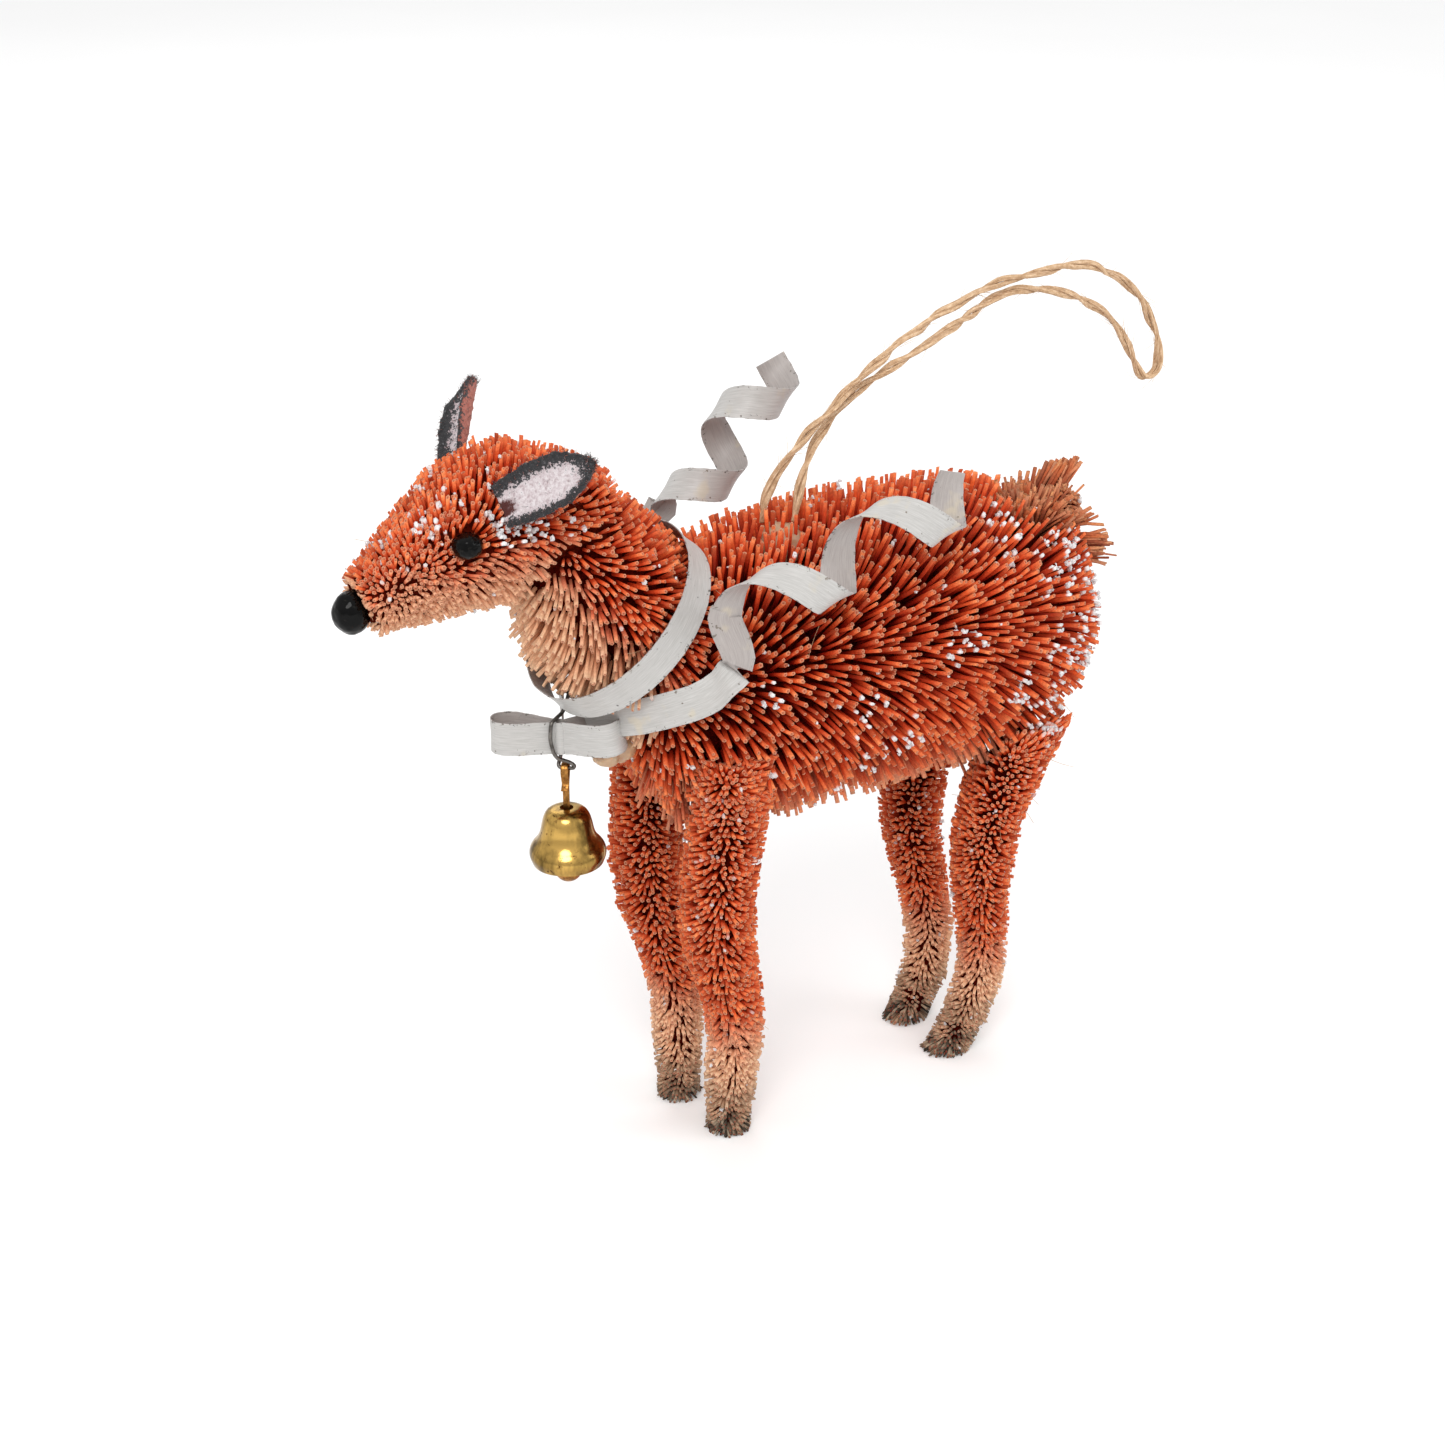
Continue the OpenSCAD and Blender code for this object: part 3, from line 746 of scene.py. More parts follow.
def glue_material():
    made, tree, shader = material("dried_glue", 0.35)
    tone = speckle(tree, 420, 4)
    tree.links.new(ramp(tree, tone, [(0.35, (0.6, 0.36, 0.2)), (0.65, (0.76, 0.55, 0.36))]), shader.inputs["Base Color"])
    shader.inputs["Subsurface Weight"].default_value = 0.3
    shader.inputs["Transmission Weight"].default_value = 0.35
    shader.inputs["Subsurface Radius"].default_value = (0.0015, 0.001, 0.0006)
    shader.inputs["Subsurface Scale"].default_value = 1.0
    bump(tree, shader, tone, 0.25, 0.0004)
    return made


def snow_material():
    made, tree, shader = material("snow_flock", 0.25)
    shader.inputs["Transmission Weight"].default_value = 0.35
    tone = speckle(tree, 3000, 2)
    tree.links.new(ramp(tree, tone, [(0.3, (0.7, 0.69, 0.7)), (0.7, (0.93, 0.92, 0.93))]), shader.inputs["Base Color"])
    bump(tree, shader, tone, 0.3, 0.0001)
    return made


def twine_material():
    made, tree, shader = material("straw_twine", 0.72)
    run, hue, _, _ = channels(tree, "ply")
    place_at = tree.nodes.new("ShaderNodeCombineXYZ")
    tree.links.new(maths(tree, "MULTIPLY", run, 9.0), place_at.inputs[0])
    tree.links.new(maths(tree, "MULTIPLY", hue, 60.0), place_at.inputs[1])
    fibre = speckle(tree, 1.0, 4, 0.6, place_at.outputs[0])
    colour = ramp(tree, fibre, [(0.3, (0.35, 0.2, 0.1)), (0.5, (0.55, 0.365, 0.215)), (0.72, (0.72, 0.54, 0.37))])
    tint = ramp(tree, hue, [(0.0, (0.75, 0.66, 0.6)), (0.5, (1.0, 0.98, 0.96)), (1.0, (1.15, 1.18, 1.2))])
    colour = blend(tree, 1.0, colour, tint, "MULTIPLY")
    tree.links.new(colour, shader.inputs["Base Color"])
    bump(tree, shader, fibre, 0.7, 0.00025)
    return made


def felt_material():
    made, tree, shader = material("ear_felt", 0.9)
    rim, face, base, _ = channels(tree, "felt")
    wool = speckle(tree, 1900, 5, 0.75)
    pale = ramp(tree, wool, [(0.28, (0.3, 0.2, 0.21)), (0.45, (0.58, 0.5, 0.52)), (0.66, (0.8, 0.76, 0.77))])
    back = ramp(tree, wool, [(0.3, (0.3, 0.07, 0.05)), (0.65, (0.52, 0.2, 0.15))])
    char = ramp(tree, wool, [(0.3, (0.004, 0.004, 0.005)), (0.6, (0.03, 0.03, 0.033)), (0.74, (0.3, 0.3, 0.32))])
    colour = blend(tree, face, back, pale)
    colour = blend(tree, spread(tree, maths(tree, "MULTIPLY", base, wool), 0.3, 0.5), colour, (0.07, 0.012, 0.01))
    rim = maths(tree, "SUBTRACT", rim, maths(tree, "SUBTRACT", 0.5, maths(tree, "MULTIPLY", face, 0.5)))
    edge = maths(tree, "ADD", rim, maths(tree, "MULTIPLY", maths(tree, "SUBTRACT", wool, 0.5), 2.6))
    colour = blend(tree, spread(tree, edge, 0.34, 0.44), colour, char)
    tree.links.new(colour, shader.inputs["Base Color"])
    shader.inputs["Sheen Weight"].default_value = 0.12
    bump(tree, shader, wool, 0.8, 0.0004)
    return made


def shaded_inside_material(name, low, high):
    # Near-black mottled colour: painted shade for the inside of a brush
    made, tree, shader = material(name, 0.95)
    tone = speckle(tree, 1300, 4, 0.7)
    tree.links.new(ramp(tree, tone, [(0.3, low), (0.7, high)]), shader.inputs["Base Color"])
    shader.inputs["Specular IOR Level"].default_value = 0.0
    bump(tree, shader, tone, 1.0, 0.0008)
    return made


# ---------------------------------------------------------------- making: camera, cord, floor, light
set_camera()
bpy.context.scene.view_settings.view_transform = "Standard"

TWINE = (
    (3.8, 0.9, 92.5), (4.2, 1, 96), (6.2, 0.9, 99.6), (9, 0, 103.4), (12.7, -0.9, 107.2), (17.8, -0.8, 110.9),
    (23.8, 0.1, 113.9), (30.4, 0.9, 116.8), (37, 0.7, 119.5), (42.8, 0, 121.4), (48.2, -0.4, 121.9),
    (53.4, -0.5, 122.4), (58, -0.4, 122.2), (62.5, -0.2, 120.8), (66.5, 0, 118.4), (70, 0, 115.2),
    (72.6, 0.1, 111.2), (74.3, 0.2, 107.2), (74.3, 0.3, 104), (72, 0.3, 103), (70, 0.4, 105.6),
    (67.8, 0.5, 109.3), (65, 0.6, 112.8), (61, 0.6, 115.6), (56.5, 0.6, 117.7), (52, 0.5, 119.1),
    (47.8, 0.5, 119.7), (42.4, 0.2, 119.4), (36.7, -0.8, 117.5), (30.7, -0.8, 114.9),
    (24.7, 0, 112), (18.7, 0.9, 108.8), (14, 0.8, 105), (10.6, 0, 101.1), (8.5, -0.8, 96.8),
    (7.8, -0.9, 92.5),
)


def twine_rope(name, path, thick, turn, sides=5):
    """Two loosely laid plies wound round each other, each a bundle of coarse fibres."""
    t, s = carried_sides(path)
    b = np.cross(t, s)
    run = np.concatenate([[0], np.cumsum(np.linalg.norm(np.diff(path, axis=0), axis=1))])
    rng = np.random.default_rng(30)
    parts, tone = [], []
    for strand in (0, 1):
        slack = np.array([noise.noise(Vector((r * 130, 4.0 + strand, 0))) for r in run])
        angle = strand * math.pi + run / turn * 2 * math.pi + 2.2 * slack
        ply = path + thick * 0.25 * (np.cos(angle)[:, None] * s + np.sin(angle)[:, None] * b)
        for fibre in range(9):
            ring = 0 if fibre == 0 else 1
            own = fibre * math.pi / 4 + run / (turn * 1.7) * 2 * math.pi
            gap = thick * 0.155 * ring * np.array([1 + 0.5 * noise.noise(Vector((r * 300, fibre, strand))) for r in run])
            line = ply + gap[:, None] * (np.cos(own)[:, None] * s + np.sin(own)[:, None] * b)
            size = thick * (0.16 if ring == 0 else rng.uniform(0.075, 0.115))
            points, faces = tube(line, size, sides)
            parts.append((points, faces))
            tint = np.full(len(points), rng.random())
            tone.append(np.stack([np.repeat(run * 100, sides), tint, 0 * tint + rng.random(), 0 * tint + 1], axis=1))
    points, faces = joined(parts)
    piece = mesh_of(name, points, faces)
    piece.data.color_attributes.new("ply", "FLOAT_COLOR", "POINT").data.foreach_set(
        "color", np.concatenate(tone).ravel())
    return piece


def hairs(name, starts, ways, lengths, radius, seed, curl=0.3, attribute=None, value=(0, 0, 0, 1)):
    """Stray fibres: thin bent three-sided prisms."""
    rng = np.random.default_rng(seed)
    parts = []
    for start, way, length in zip(starts, ways, lengths):
        way = unit(way)
        side = unit(np.cross(way, rng.normal(size=3)))
        bow = side * length * curl * rng.normal()
        steps = np.linspace(0, 1, 5)[:, None]
        line = start + way * length * steps + bow * steps**2
        parts.append(tube(line, radius * np.linspace(1, 0.5, 5), 3))
    points, faces = joined(parts)
    piece = mesh_of(name, points, faces)
    if attribute:
        layer = piece.data.color_attributes.new(attribute, "FLOAT_COLOR", "POINT")
        layer.data.foreach_set("color", np.tile(value, len(points)))
    return piece


twine_path = smooth_path(TWINE, 8) * MM
twine_paint = twine_material()
twine = place(twine_rope("hanging_twine_plies", twine_path, 1.5 * MM, 15 * MM), twine_paint, "fawn", "twine",
              ["hanging_twine"])
rng = np.random.default_rng(31)
picks = rng.integers(8, len(twine_path) - 8, 260)
outward = unit(rng.normal(size=(260, 3)) + headings(twine_path)[picks] * 3.5)
fuzz = place(hairs("twine_fuzz", twine_path[picks] + unit(rng.normal(size=(260, 3))) * 0.45 * MM, outward,
                   rng.uniform(1.0, 3.6, 260) * MM, 0.04 * MM, 32, attribute="ply", value=(0.3, 0.8, 0, 1)),
             twine_paint, "fawn", "twine")

# Floor, world and lamps
floor = mesh_of("floor", [(-3, -3, 0), (3, -3, 0), (3, 3, 0), (-3, 3, 0)], [(0, 1, 2, 3)], smooth=False)
floor_paint, floor_tree, floor_shader = material("studio_floor", 0.8)
floor_tone = speckle(floor_tree, 3, 3)
floor_tree.links.new(ramp(floor_tree, floor_tone, [(0.3, (0.93, 0.93, 0.93)), (0.7, (0.95, 0.95, 0.95))]),
                     floor_shader.inputs["Base Color"])
floor_shader.inputs["Specular IOR Level"].default_value = 0.0
floor.data.materials.append(floor_paint)

world = bpy.data.worlds.new("soft_studio")
bpy.context.scene.world = world
world.use_nodes = True
sky = world.node_tree
up = sky.nodes.new("ShaderNodeSeparateXYZ")
sky.links.new(sky.nodes.new("ShaderNodeTexCoord").outputs["Generated"], up.inputs[0])
sky.links.new(ramp(sky, up.outputs[2], [(0.0, (0.7, 0.7, 0.7)), (0.2, (0.85, 0.85, 0.85)), (0.5, (1.0, 1.0, 1.0))]),
              sky.nodes["Background"].inputs["Color"])
sky.nodes["Background"].inputs["Strength"].default_value = 0.98
area_light("key", (-0.45, -0.55, 0.75), (0, 0, 0.06), 0.5, 4.2, (1.0, 0.985, 0.965))
area_light("side", (0.7, -0.45, 0.45), (0, 0, 0.06), 0.5, 1.4, (0.98, 0.99, 1.0))
area_light("back", (0.2, 0.8, 0.7), (0, 0, 0.06), 0.6, 1.2)

# ---------------------------------------------------------------- making: neck ribbon and ears
def turned(x=0.0, y=0.0, z=0.0):
    """Rotation by degrees about X, then Y, then Z."""
    return (Matrix.Rotation(math.radians(z), 4, "Z") @ Matrix.Rotation(math.radians(y), 4, "Y")
            @ Matrix.Rotation(math.radians(x), 4, "X"))


def moved(points, frame_at):
    m = np.array(frame_at)
    return np.asarray(points) @ m[:3, :3].T + m[:3, 3]


paint = paint_material()
RIBBON_W, RIBBON_T = 4.8 * MM, 0.26 * MM
turns = np.linspace(0, 2 * math.pi, 181)[:-1]
band_frame = Matrix.Translation((-20, 0, 84.2)) @ turned(y=-45)
band_line = [(14.35 * math.cos(a) - 0.6, 13.75 * math.sin(a), 0) for a in turns]
band = ribbon("neck_ribbon", moved(band_line, band_frame) * MM,
              np.tile(np.array(band_frame.to_3x3() @ Vector((0, 0, 1))), (180, 1)), RIBBON_W, RIBBON_T,
              closed=True, cup=-0.25 * MM, seed=2)
place(band, paint, "fawn", "painted_ribbon", ["neck_band"])

def ear(name, length, width, cup_r, back, frame_at, seed, rows=60, columns=41):
    """A felt leaf bowed to a cup, with a soft rim and a woolly skin, and loose fibres round its edge.
    Its root is sunk 4.5 mm below its frame's origin, and it is broadest past its middle."""
    rng = np.random.default_rng(seed)
    u = np.sin(np.linspace(-0.5, 0.5, columns) * math.pi)
    v = (1 - np.cos(np.linspace(0, 1, rows) * math.pi)) / 2
    bow_r = cup_r - 0.5
    points, felt = [], []
    for face in (1, 0):
        for k in v:
            for q in u:
                broad = min(1, (1 - k) / 0.3) ** 0.5 * (0.66 + 0.34 * math.sin(math.pi * (0.15 + 0.75 * k)))
                broad *= 1 if q > 0 else back
                half = max(width / 2 * broad, 0.02) * (1 + 0.05 * noise.noise(Vector((k * 9, seed, q))))
                x = q * half
                thick = 0.46 * (1 - abs(q) ** 6) ** 0.5 * min(1, half / 0.7)
                r = bow_r - thick if face else bow_r + thick
                a = x / bow_r
                spot = Vector((r * math.sin(a), cup_r - r * math.cos(a), length * (0.24 + 0.76 * k) - 4.5))
                spot += noise.noise_vector(spot * 1.6) * 0.16 + noise.noise_vector(spot * 5) * 0.07
                edge = min((1 - abs(q)) * half * (0.75 if q > 0 else 1.2), (1 - k) * length * 0.4 + 0.15)
                points.append(spot)
                base = max(0, 1.5 - k * 5) * max(0, min(1, 1.9 - abs(q + 0.15) * 3.5))
                felt.append((1 - min(edge / (2.0 * back), 1), face, base, 1))
    per_face = rows * columns
    faces = []
    for face in (0, 1):
        for i in range(rows - 1):
            for j in range(columns - 1):
                a = face * per_face + i * columns + j
                quad = (a, a + columns, a + columns + 1, a + 1)
                faces.append(quad if face == 0 else quad[::-1])
    world = moved([tuple(p) for p in points], frame_at) * MM
    piece = mesh_of(name, world, faces)
    piece.data.color_attributes.new("felt", "FLOAT_COLOR", "POINT").data.foreach_set(
        "color", np.array(felt).ravel())
    weld = piece.modifiers.new("weld", "WELD")
    weld.merge_threshold = 0.03 * MM
    apply_modifiers(piece)
    starts, ways, lengths = [], [], []
    middle = moved([(0, 1, length * 0.3)], frame_at)[0] * MM
    for i in rng.integers(0, len(world), 1100):
        rim = felt[i][0]
        if rng.random() > 0.1 + 0.9 * rim or points[i].z < 0:
            continue
        starts.append(world[i])
        ways.append(unit(world[i] - middle) + rng.normal(size=3) * 0.8)
        lengths.append(rng.uniform(0.3, 0.9) * MM)
    loose = hairs(name + "_fuzz", starts, ways, lengths, 0.028 * MM, seed + 1, attribute="felt", value=(1, 0, 0, 1))
    return piece, loose


felt = felt_material()
leaves = []
for name, length, width, cup_r, back, frame_at in (
        ("left_ear", 18.1, 7.4, 6, 1.0, Matrix.Translation((-40, -7, 105.2)) @ turned(y=61, z=-45) @ turned(z=162)),
        ("right_ear", 17.5, 6.8, 3.5, 1.3, Matrix.Translation((-39.7, 6.4, 107.2)) @ turned(y=53, z=52) @ turned(z=47))):
    leaf, loose = ear(name + "_leaf", length, width, cup_r, back, frame_at, 41 if name == "left_ear" else 43)
    leaves.append(place(leaf, felt, "fawn", "ear_felt", [name]))
    place(loose, felt, "fawn", "ear_felt")

obstacle_nodes = (
    "left_eye", "right_eye", "nose_bead", "bow_loops", "left_ribbon_tail",
    "right_ribbon_tail", "hook_wire", "glue_dab", "hanging_twine",
)
obstacles = cad_tree(*obstacle_nodes, band, *leaves)

# ---------------------------------------------------------------- making: brushes
BODY_CORE = ((-16, 0, 70.5), (20, 0, 70.5), (55, 0, 70.5))
NECK_CORE = ((-11, 0, 77.5), (-20, 0, 86.5), (-29.5, 0, 96))
HEAD_CORE = ((-25, 0, 98.5), (-37.5, 0, 99), (-57, 0, 92.6))
TAIL_CORE = ((50, 0, 81), (54, 0, 84.1), (57.5, 0, 86.8))
LEG_CORES = {
    "front_left": ((-9.5, -10.5, 61), (-9.5, -10.5, 54), (-9.5, -8.7, 33), (-5.9, -7.1, 14), (-6.4, -6.2, 5.5)),
    "front_right": ((-9.8, 10.4, 61), (-9.8, 10.4, 54), (-10.6, 8.4, 33), (-7.5, 6.7, 14), (-8.1, 5.6, 5.5)),
    "rear_left": ((41.9, -10.3, 52), (37.8, -9, 34), (40.1, -7.4, 16), (37.9, -6.6, 5.5)),
    "rear_right": ((41.7, 10.1, 52), (37.1, 8.5, 34), (39.9, 6.5, 16), (38, 5.4, 5.5)),
}
FOOT_CORES = {
    "front_left": ((-6.4, -6.2, 6.2), (-6.4, -6.2, 2.2)),
    "front_right": ((-8.1, 5.6, 6.2), (-8.1, 5.6, 2.2)),
    "rear_left": ((38.1, -6.6, 6.2), (35.8, -6.4, 2.2)),
    "rear_right": ((38.2, 5.5, 6.2), (35.9, 5.2, 2.2)),
}


# Root colours near black: painted shade deep in the brush
rust = bristle_material(
    "rust_palm_bristles", (0.04, 0.001, 0.0005), (0.27, 0.01, 0.002), (0.58, 0.062, 0.014), (0.76, 0.17, 0.062),
    (0.82, 0.4, 0.24), (0.32, 0.05, 0.025))
duller = bristle_material(
    "tail_palm_bristles", (0.05, 0.006, 0.003), (0.26, 0.04, 0.014), (0.5, 0.11, 0.036), (0.58, 0.17, 0.065),
    (0.5, 0.22, 0.11), (0.16, 0.04, 0.02))
# The dark inside masses: painted shade deep in the brushes, not a bristle colour
dark = shaded_inside_material("shaded_inside_bristles", (0.012, 0.0005, 0.0003), (0.09, 0.005, 0.002))
shaded_head_inside = shaded_inside_material("shaded_head_inside_bristles", (0.02, 0.001, 0.0005), (0.13, 0.012, 0.004))
core_steel = metal_material("core_wire_steel", (0.3, 0.28, 0.26), (0.09, 0.05, 0.03), 0.4, 900)

place(brush("body_brush", "body_bristles", BODY_CORE, 1.1, 0.33, body_coat, ("neck_bristles",), seed=11, pull=0.8,
            shift=-0.035, start=6.0, longer=fringe_length,
            only=off_body_gaps), rust, "fawn", "rust_bristles", ["body_bristles"])
place(brush("neck_brush", "neck_bristles", NECK_CORE, 0.92, 0.3, neck_coat, ("body_bristles", "head_bristles"),
            seed=12, ragged=0.035, start=3.0, longer=throat_length), rust, "fawn", "rust_bristles", ["neck_bristles"])
place(brush("head_brush", "head_bristles", HEAD_CORE, 0.74, 0.285, head_coat, ("neck_bristles",),
            seed=13, ragged=0.03, clump=0.5, short=0.3, start=1.2, pull=0.84, shift=0.04, limit=0.86), rust, "fawn", "rust_bristles", ["head_bristles"])
place(brush("muzzle_brush", "head_bristles", HEAD_CORE, 0.66, 0.25, head_coat, ("neck_bristles",), seed=16,
            ragged=0.02, clump=0.3, short=0.5, start=1.2, pull=0.84, shift=0.04, limit=0.86,
            only=lambda p: p[:, 0] < -46 * MM), rust, "fawn", "rust_bristles")
place(brush("tail_brush", "tail_bristles", TAIL_CORE, 0.72, 0.24, tail_coat, ("body_bristles",),
            seed=14, ragged=0.12, clump=1.0, share=0.55), duller, "fawn", "tail_bristles", ["tail_bristles"])
for seed, (limb, core) in enumerate(LEG_CORES.items(), 20):
    foot = FOOT_CORES[limb]
    place(brush(f"{limb}_leg_brush", f"{limb}_leg", core, 0.72, 0.3, leg_coat, ("body_bristles",), seed=seed,
                ragged=0.03, clump=0.35, short=0.3, raised=5.5 if limb.startswith("front") else 0), rust, "fawn",
          "rust_bristles", [f"{limb}_leg"])
    place(brush(f"{limb}_hoof_brush", f"{limb}_hoof", foot, 0.54, 0.24, hoof_coat, (f"{limb}_leg",),
                seed=seed + 10, ragged=0.03, clump=0.25, short=0.15, start=0.4), rust, "fawn", "hoof_bristles",
          [f"{limb}_hoof"])
    place(underbrush(f"{limb}_leg_inside", f"{limb}_leg", core, 0.62), dark, "fawn", "rust_bristles")
    place(underbrush(f"{limb}_hoof_inside", f"{limb}_hoof", foot, 0.66), dark, "fawn", "hoof_bristles")
    wire = twisted_pair(smooth_path(core, 20) * MM, 0.55 * MM, 4 * MM)
    place(mesh_of(f"{limb}_twisted_wire", *wire), core_steel, "fawn", "core_wire", [f"{limb}_core"])


def tufts(name, bundles, seed):
    """Bundles of flat split fibres. Each bundle: root, tip, width across, fibre count, fibre radius, spread."""
    rng = np.random.default_rng(seed)
    starts, ways, lengths, radii = [], [], [], []
    for root, tip, across, count, radius, loose in bundles:
        root, tip, across = (np.array(v, float) for v in (root, tip, across))
        for place_in in np.linspace(-0.5, 0.5, count):
            start = root + across * place_in * 0.6 + rng.normal(size=3) * 0.35
            end = tip + across * place_in + rng.normal(size=3) * loose
            end = start + (end - start) * rng.uniform(1 - 0.25 * min(loose + 0.1, 1), 1)
            starts.append(start * MM)
            ways.append(unit(end - start))
            lengths.append(np.linalg.norm(end - start) * MM)
            radii.append(radius * MM)
    starts, ways, lengths = np.array(starts), np.array(ways), np.array(lengths)
    tips = starts + ways * lengths[:, None]
    tint = rng.uniform(0.0, 0.4, len(tips))
    shade = np.stack([tint, rng.uniform(0.0, 0.15, len(tips)), 0 * tint], axis=1)
    return grow(name, starts, tips, ways, np.array(radii), shade, rings=(0, 0.4, 0.75, 1), seed=seed, flat=0.55)


TAIL_BUNDLES = (
    ((51, 1.5, 83), (57.7, 0.9, 92.6), (3.9, -2.4, 0.5), 22, 0.36, 0.12),
    ((51.4, 0.9, 83), (58, 0.4, 92.2), (3.7, -2.3, 0.3), 20, 0.32, 0.15),
    ((50.6, 2.2, 83), (57, 1.6, 91.8), (3.3, -2.2, 0.3), 14, 0.28, 0.3),
    ((50, -3, 81), (61.2, -6.3, 81), (0.3, -0.3, 4.6), 22, 0.32, 0.4),
    ((50, -3.6, 81), (60.6, -7.4, 80), (0.2, -0.2, 4.2), 20, 0.3, 0.5),
    ((50, -2, 82), (59.4, -4.2, 84.8), (0.8, -1.2, 2.0), 16, 0.3, 0.6),
    ((47, -1, 81), (41.2, -3.8, 91.2), (2.2, -1.8, 0), 16, 0.34, 0.9),
    ((48, -1, 81), (43.6, -3.2, 92), (2.4, -1.8, 0), 18, 0.34, 0.9),
    ((47, -1, 81), (43.4, -7, 90.4), (2.4, -1.8, 0), 16, 0.34, 0.9),
    ((49, -1, 81), (46.2, -5.2, 91.4), (2.8, -2.2, 0), 20, 0.34, 0.8),
    ((49, -1, 81), (49.2, -7.2, 90), (2.6, -2.2, -0.4), 20, 0.34, 0.8),
    ((49, -1, 81), (52.4, -8.2, 87.8), (2.2, -2.0, -0.8), 18, 0.34, 0.8),
    ((49, -1, 81), (48.6, -1.6, 92.4), (3.0, -2.2, 0), 20, 0.34, 0.8),
    ((49, -1, 81), (52.4, -3.8, 90.6), (3.0, -2.2, -0.6), 22, 0.34, 0.8),
    ((49, -1, 81), (55.6, -5.2, 86.8), (2.0, -2.2, 1.0), 20, 0.32, 0.8),
    ((49, 1, 81), (51, 2.6, 91), (3.0, 2.2, 0), 20, 0.32, 0.8),
    ((51, 1, 82), (57.5, 5, 84), (-2.0, -2.0, 4.0), 22, 0.28, 0.9),
    ((50, 1, 81), (50.5, 6, 88.5), (-2.6, 2.2, 0), 18, 0.32, 0.9),
)
place(tufts("tail_split_tufts", TAIL_BUNDLES, 15), duller, "fawn", "tail_bristles")
CHEST_BUNDLES = (
    ((-14, -3, 67), (-17.6, -5, 58), (3, -2, 0), 30, 0.26, 0.5),
    ((-12, -3, 67), (-15.4, -6.2, 56.4), (4, -2.5, 0), 40, 0.26, 0.6),
    ((-10, -2, 67), (-12.5, -4, 55.4), (4, -2.5, 0), 40, 0.26, 0.9),
    ((-14, 2, 67), (-16.8, 3, 57.2), (2, 5, 0), 40, 0.26, 0.5),
)
place(tufts("chest_fringe", CHEST_BUNDLES, 17), rust, "fawn", "rust_bristles")
for name, cad, core, share in (("body", "body_bristles", BODY_CORE, 0.68), ("neck", "neck_bristles", NECK_CORE, 0.7),
                               ("head", "head_bristles", HEAD_CORE, 0.76), ("tail", "tail_bristles", TAIL_CORE, 0.4)):
    slot = "tail_bristles" if name == "tail" else "rust_bristles"
    place(underbrush(f"{name}_inside", cad, core, share), shaded_head_inside if name == "head" else dark, "fawn", slot)
    wire = twisted_pair(smooth_path(core, 24) * MM, 0.55 * MM, 4 * MM)
    place(mesh_of(f"{name}_twisted_wire", *wire), core_steel, "fawn", "core_wire", [f"{name}_core"])


# ---------------------------------------------------------------- making: beads
def lump(name, centre, radii, rough, seed, level=5, scale=1.0):
    """A rounded lump: a fine ball whose skin wanders by a share of its radius."""
    import bmesh
    made = bmesh.new()
    bmesh.ops.create_icosphere(made, subdivisions=level, radius=1)
    for vertex in made.verts:
        wander = 1 + rough * noise.noise(vertex.co * 1.6 * scale + Vector((seed, 0, 0)))
        wander += rough * 0.35 * noise.noise(vertex.co * 4.3 * scale + Vector((0, seed, 0)))
        vertex.co = Vector(centre) + Vector([c * r * wander for c, r in zip(vertex.co, radii)])
    mesh = bpy.data.meshes.new(name)
    made.to_mesh(mesh)
    made.free()
    return new_object(name, mesh)


def middle_of(name):
    low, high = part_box(name)
    return (low + high) / 2, (high - low) / 2


bead = bead_material()
for name in ("left_eye", "right_eye"):
    centre, half = middle_of(name)
    place(lump(name + "_bead", centre, Vector((half.x, half.y, half.z * 0.84)), 0.07, 3.0), bead, "fawn", "black_bead", [name])
low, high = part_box("nose_bead")
nose_half = Vector((2.5, 2.4, 2.85)) * MM
nose_at = Vector((low.x + nose_half.x, (low.y + high.y) / 2, (low.z + high.z) / 2))
place(lump("nose_dome", nose_at, nose_half, 0.05, 8.0), bead, "fawn", "black_bead", ["nose_bead"])

# ---------------------------------------------------------------- making: ribbon
BOW = Matrix.Translation((-29.7, 0, 68.1)) @ turned(z=-40.5)


def bow_loop(name, length, width, frame_at, seed):
    s = np.linspace(0, 2 * math.pi, 73)
    line = np.stack([length * (1 - np.cos(s)) / 2, width * np.sin(s) * (1 - np.cos(s)) / 2.6 + 0.5 * np.cos(s / 2),
                     0 * s], axis=1)
    way = np.array((BOW @ frame_at).to_3x3() @ Vector((0, 0, 1)))
    return ribbon(name, moved(line, BOW @ frame_at) * MM, np.tile(way, (len(s), 1)), RIBBON_W, RIBBON_T, seed=seed,
                  cup=0.1 * MM, outside=0)


left_loop = bow_loop("bow_left_loop", 9.2, 3.6, Matrix.Translation((-0.4, 0, 0)) @ turned(z=180), 3)
right_loop = bow_loop("bow_right_loop", 8.6, 5, Matrix.Translation((0.4, 0, 0)) @ turned(y=-9), 4)
waist_line = [(0.75 * math.cos(a), 0.72 * math.sin(a), 0) for a in turns[::5]]
up_way = np.array(BOW.to_3x3() @ Vector((0, 0, 1)))
waist = ribbon("bow_waist", moved(waist_line, BOW) * MM, np.tile(up_way, (36, 1)), RIBBON_W * 0.98, RIBBON_T,
               closed=True, seed=5)
place(left_loop, paint, "fawn", "painted_ribbon", ["bow_loops"])
place(right_loop, paint, "fawn", "painted_ribbon")
place(waist, paint, "fawn", "painted_ribbon")

CURL_FRONT = np.array((-0.53, -0.85, 0.45))


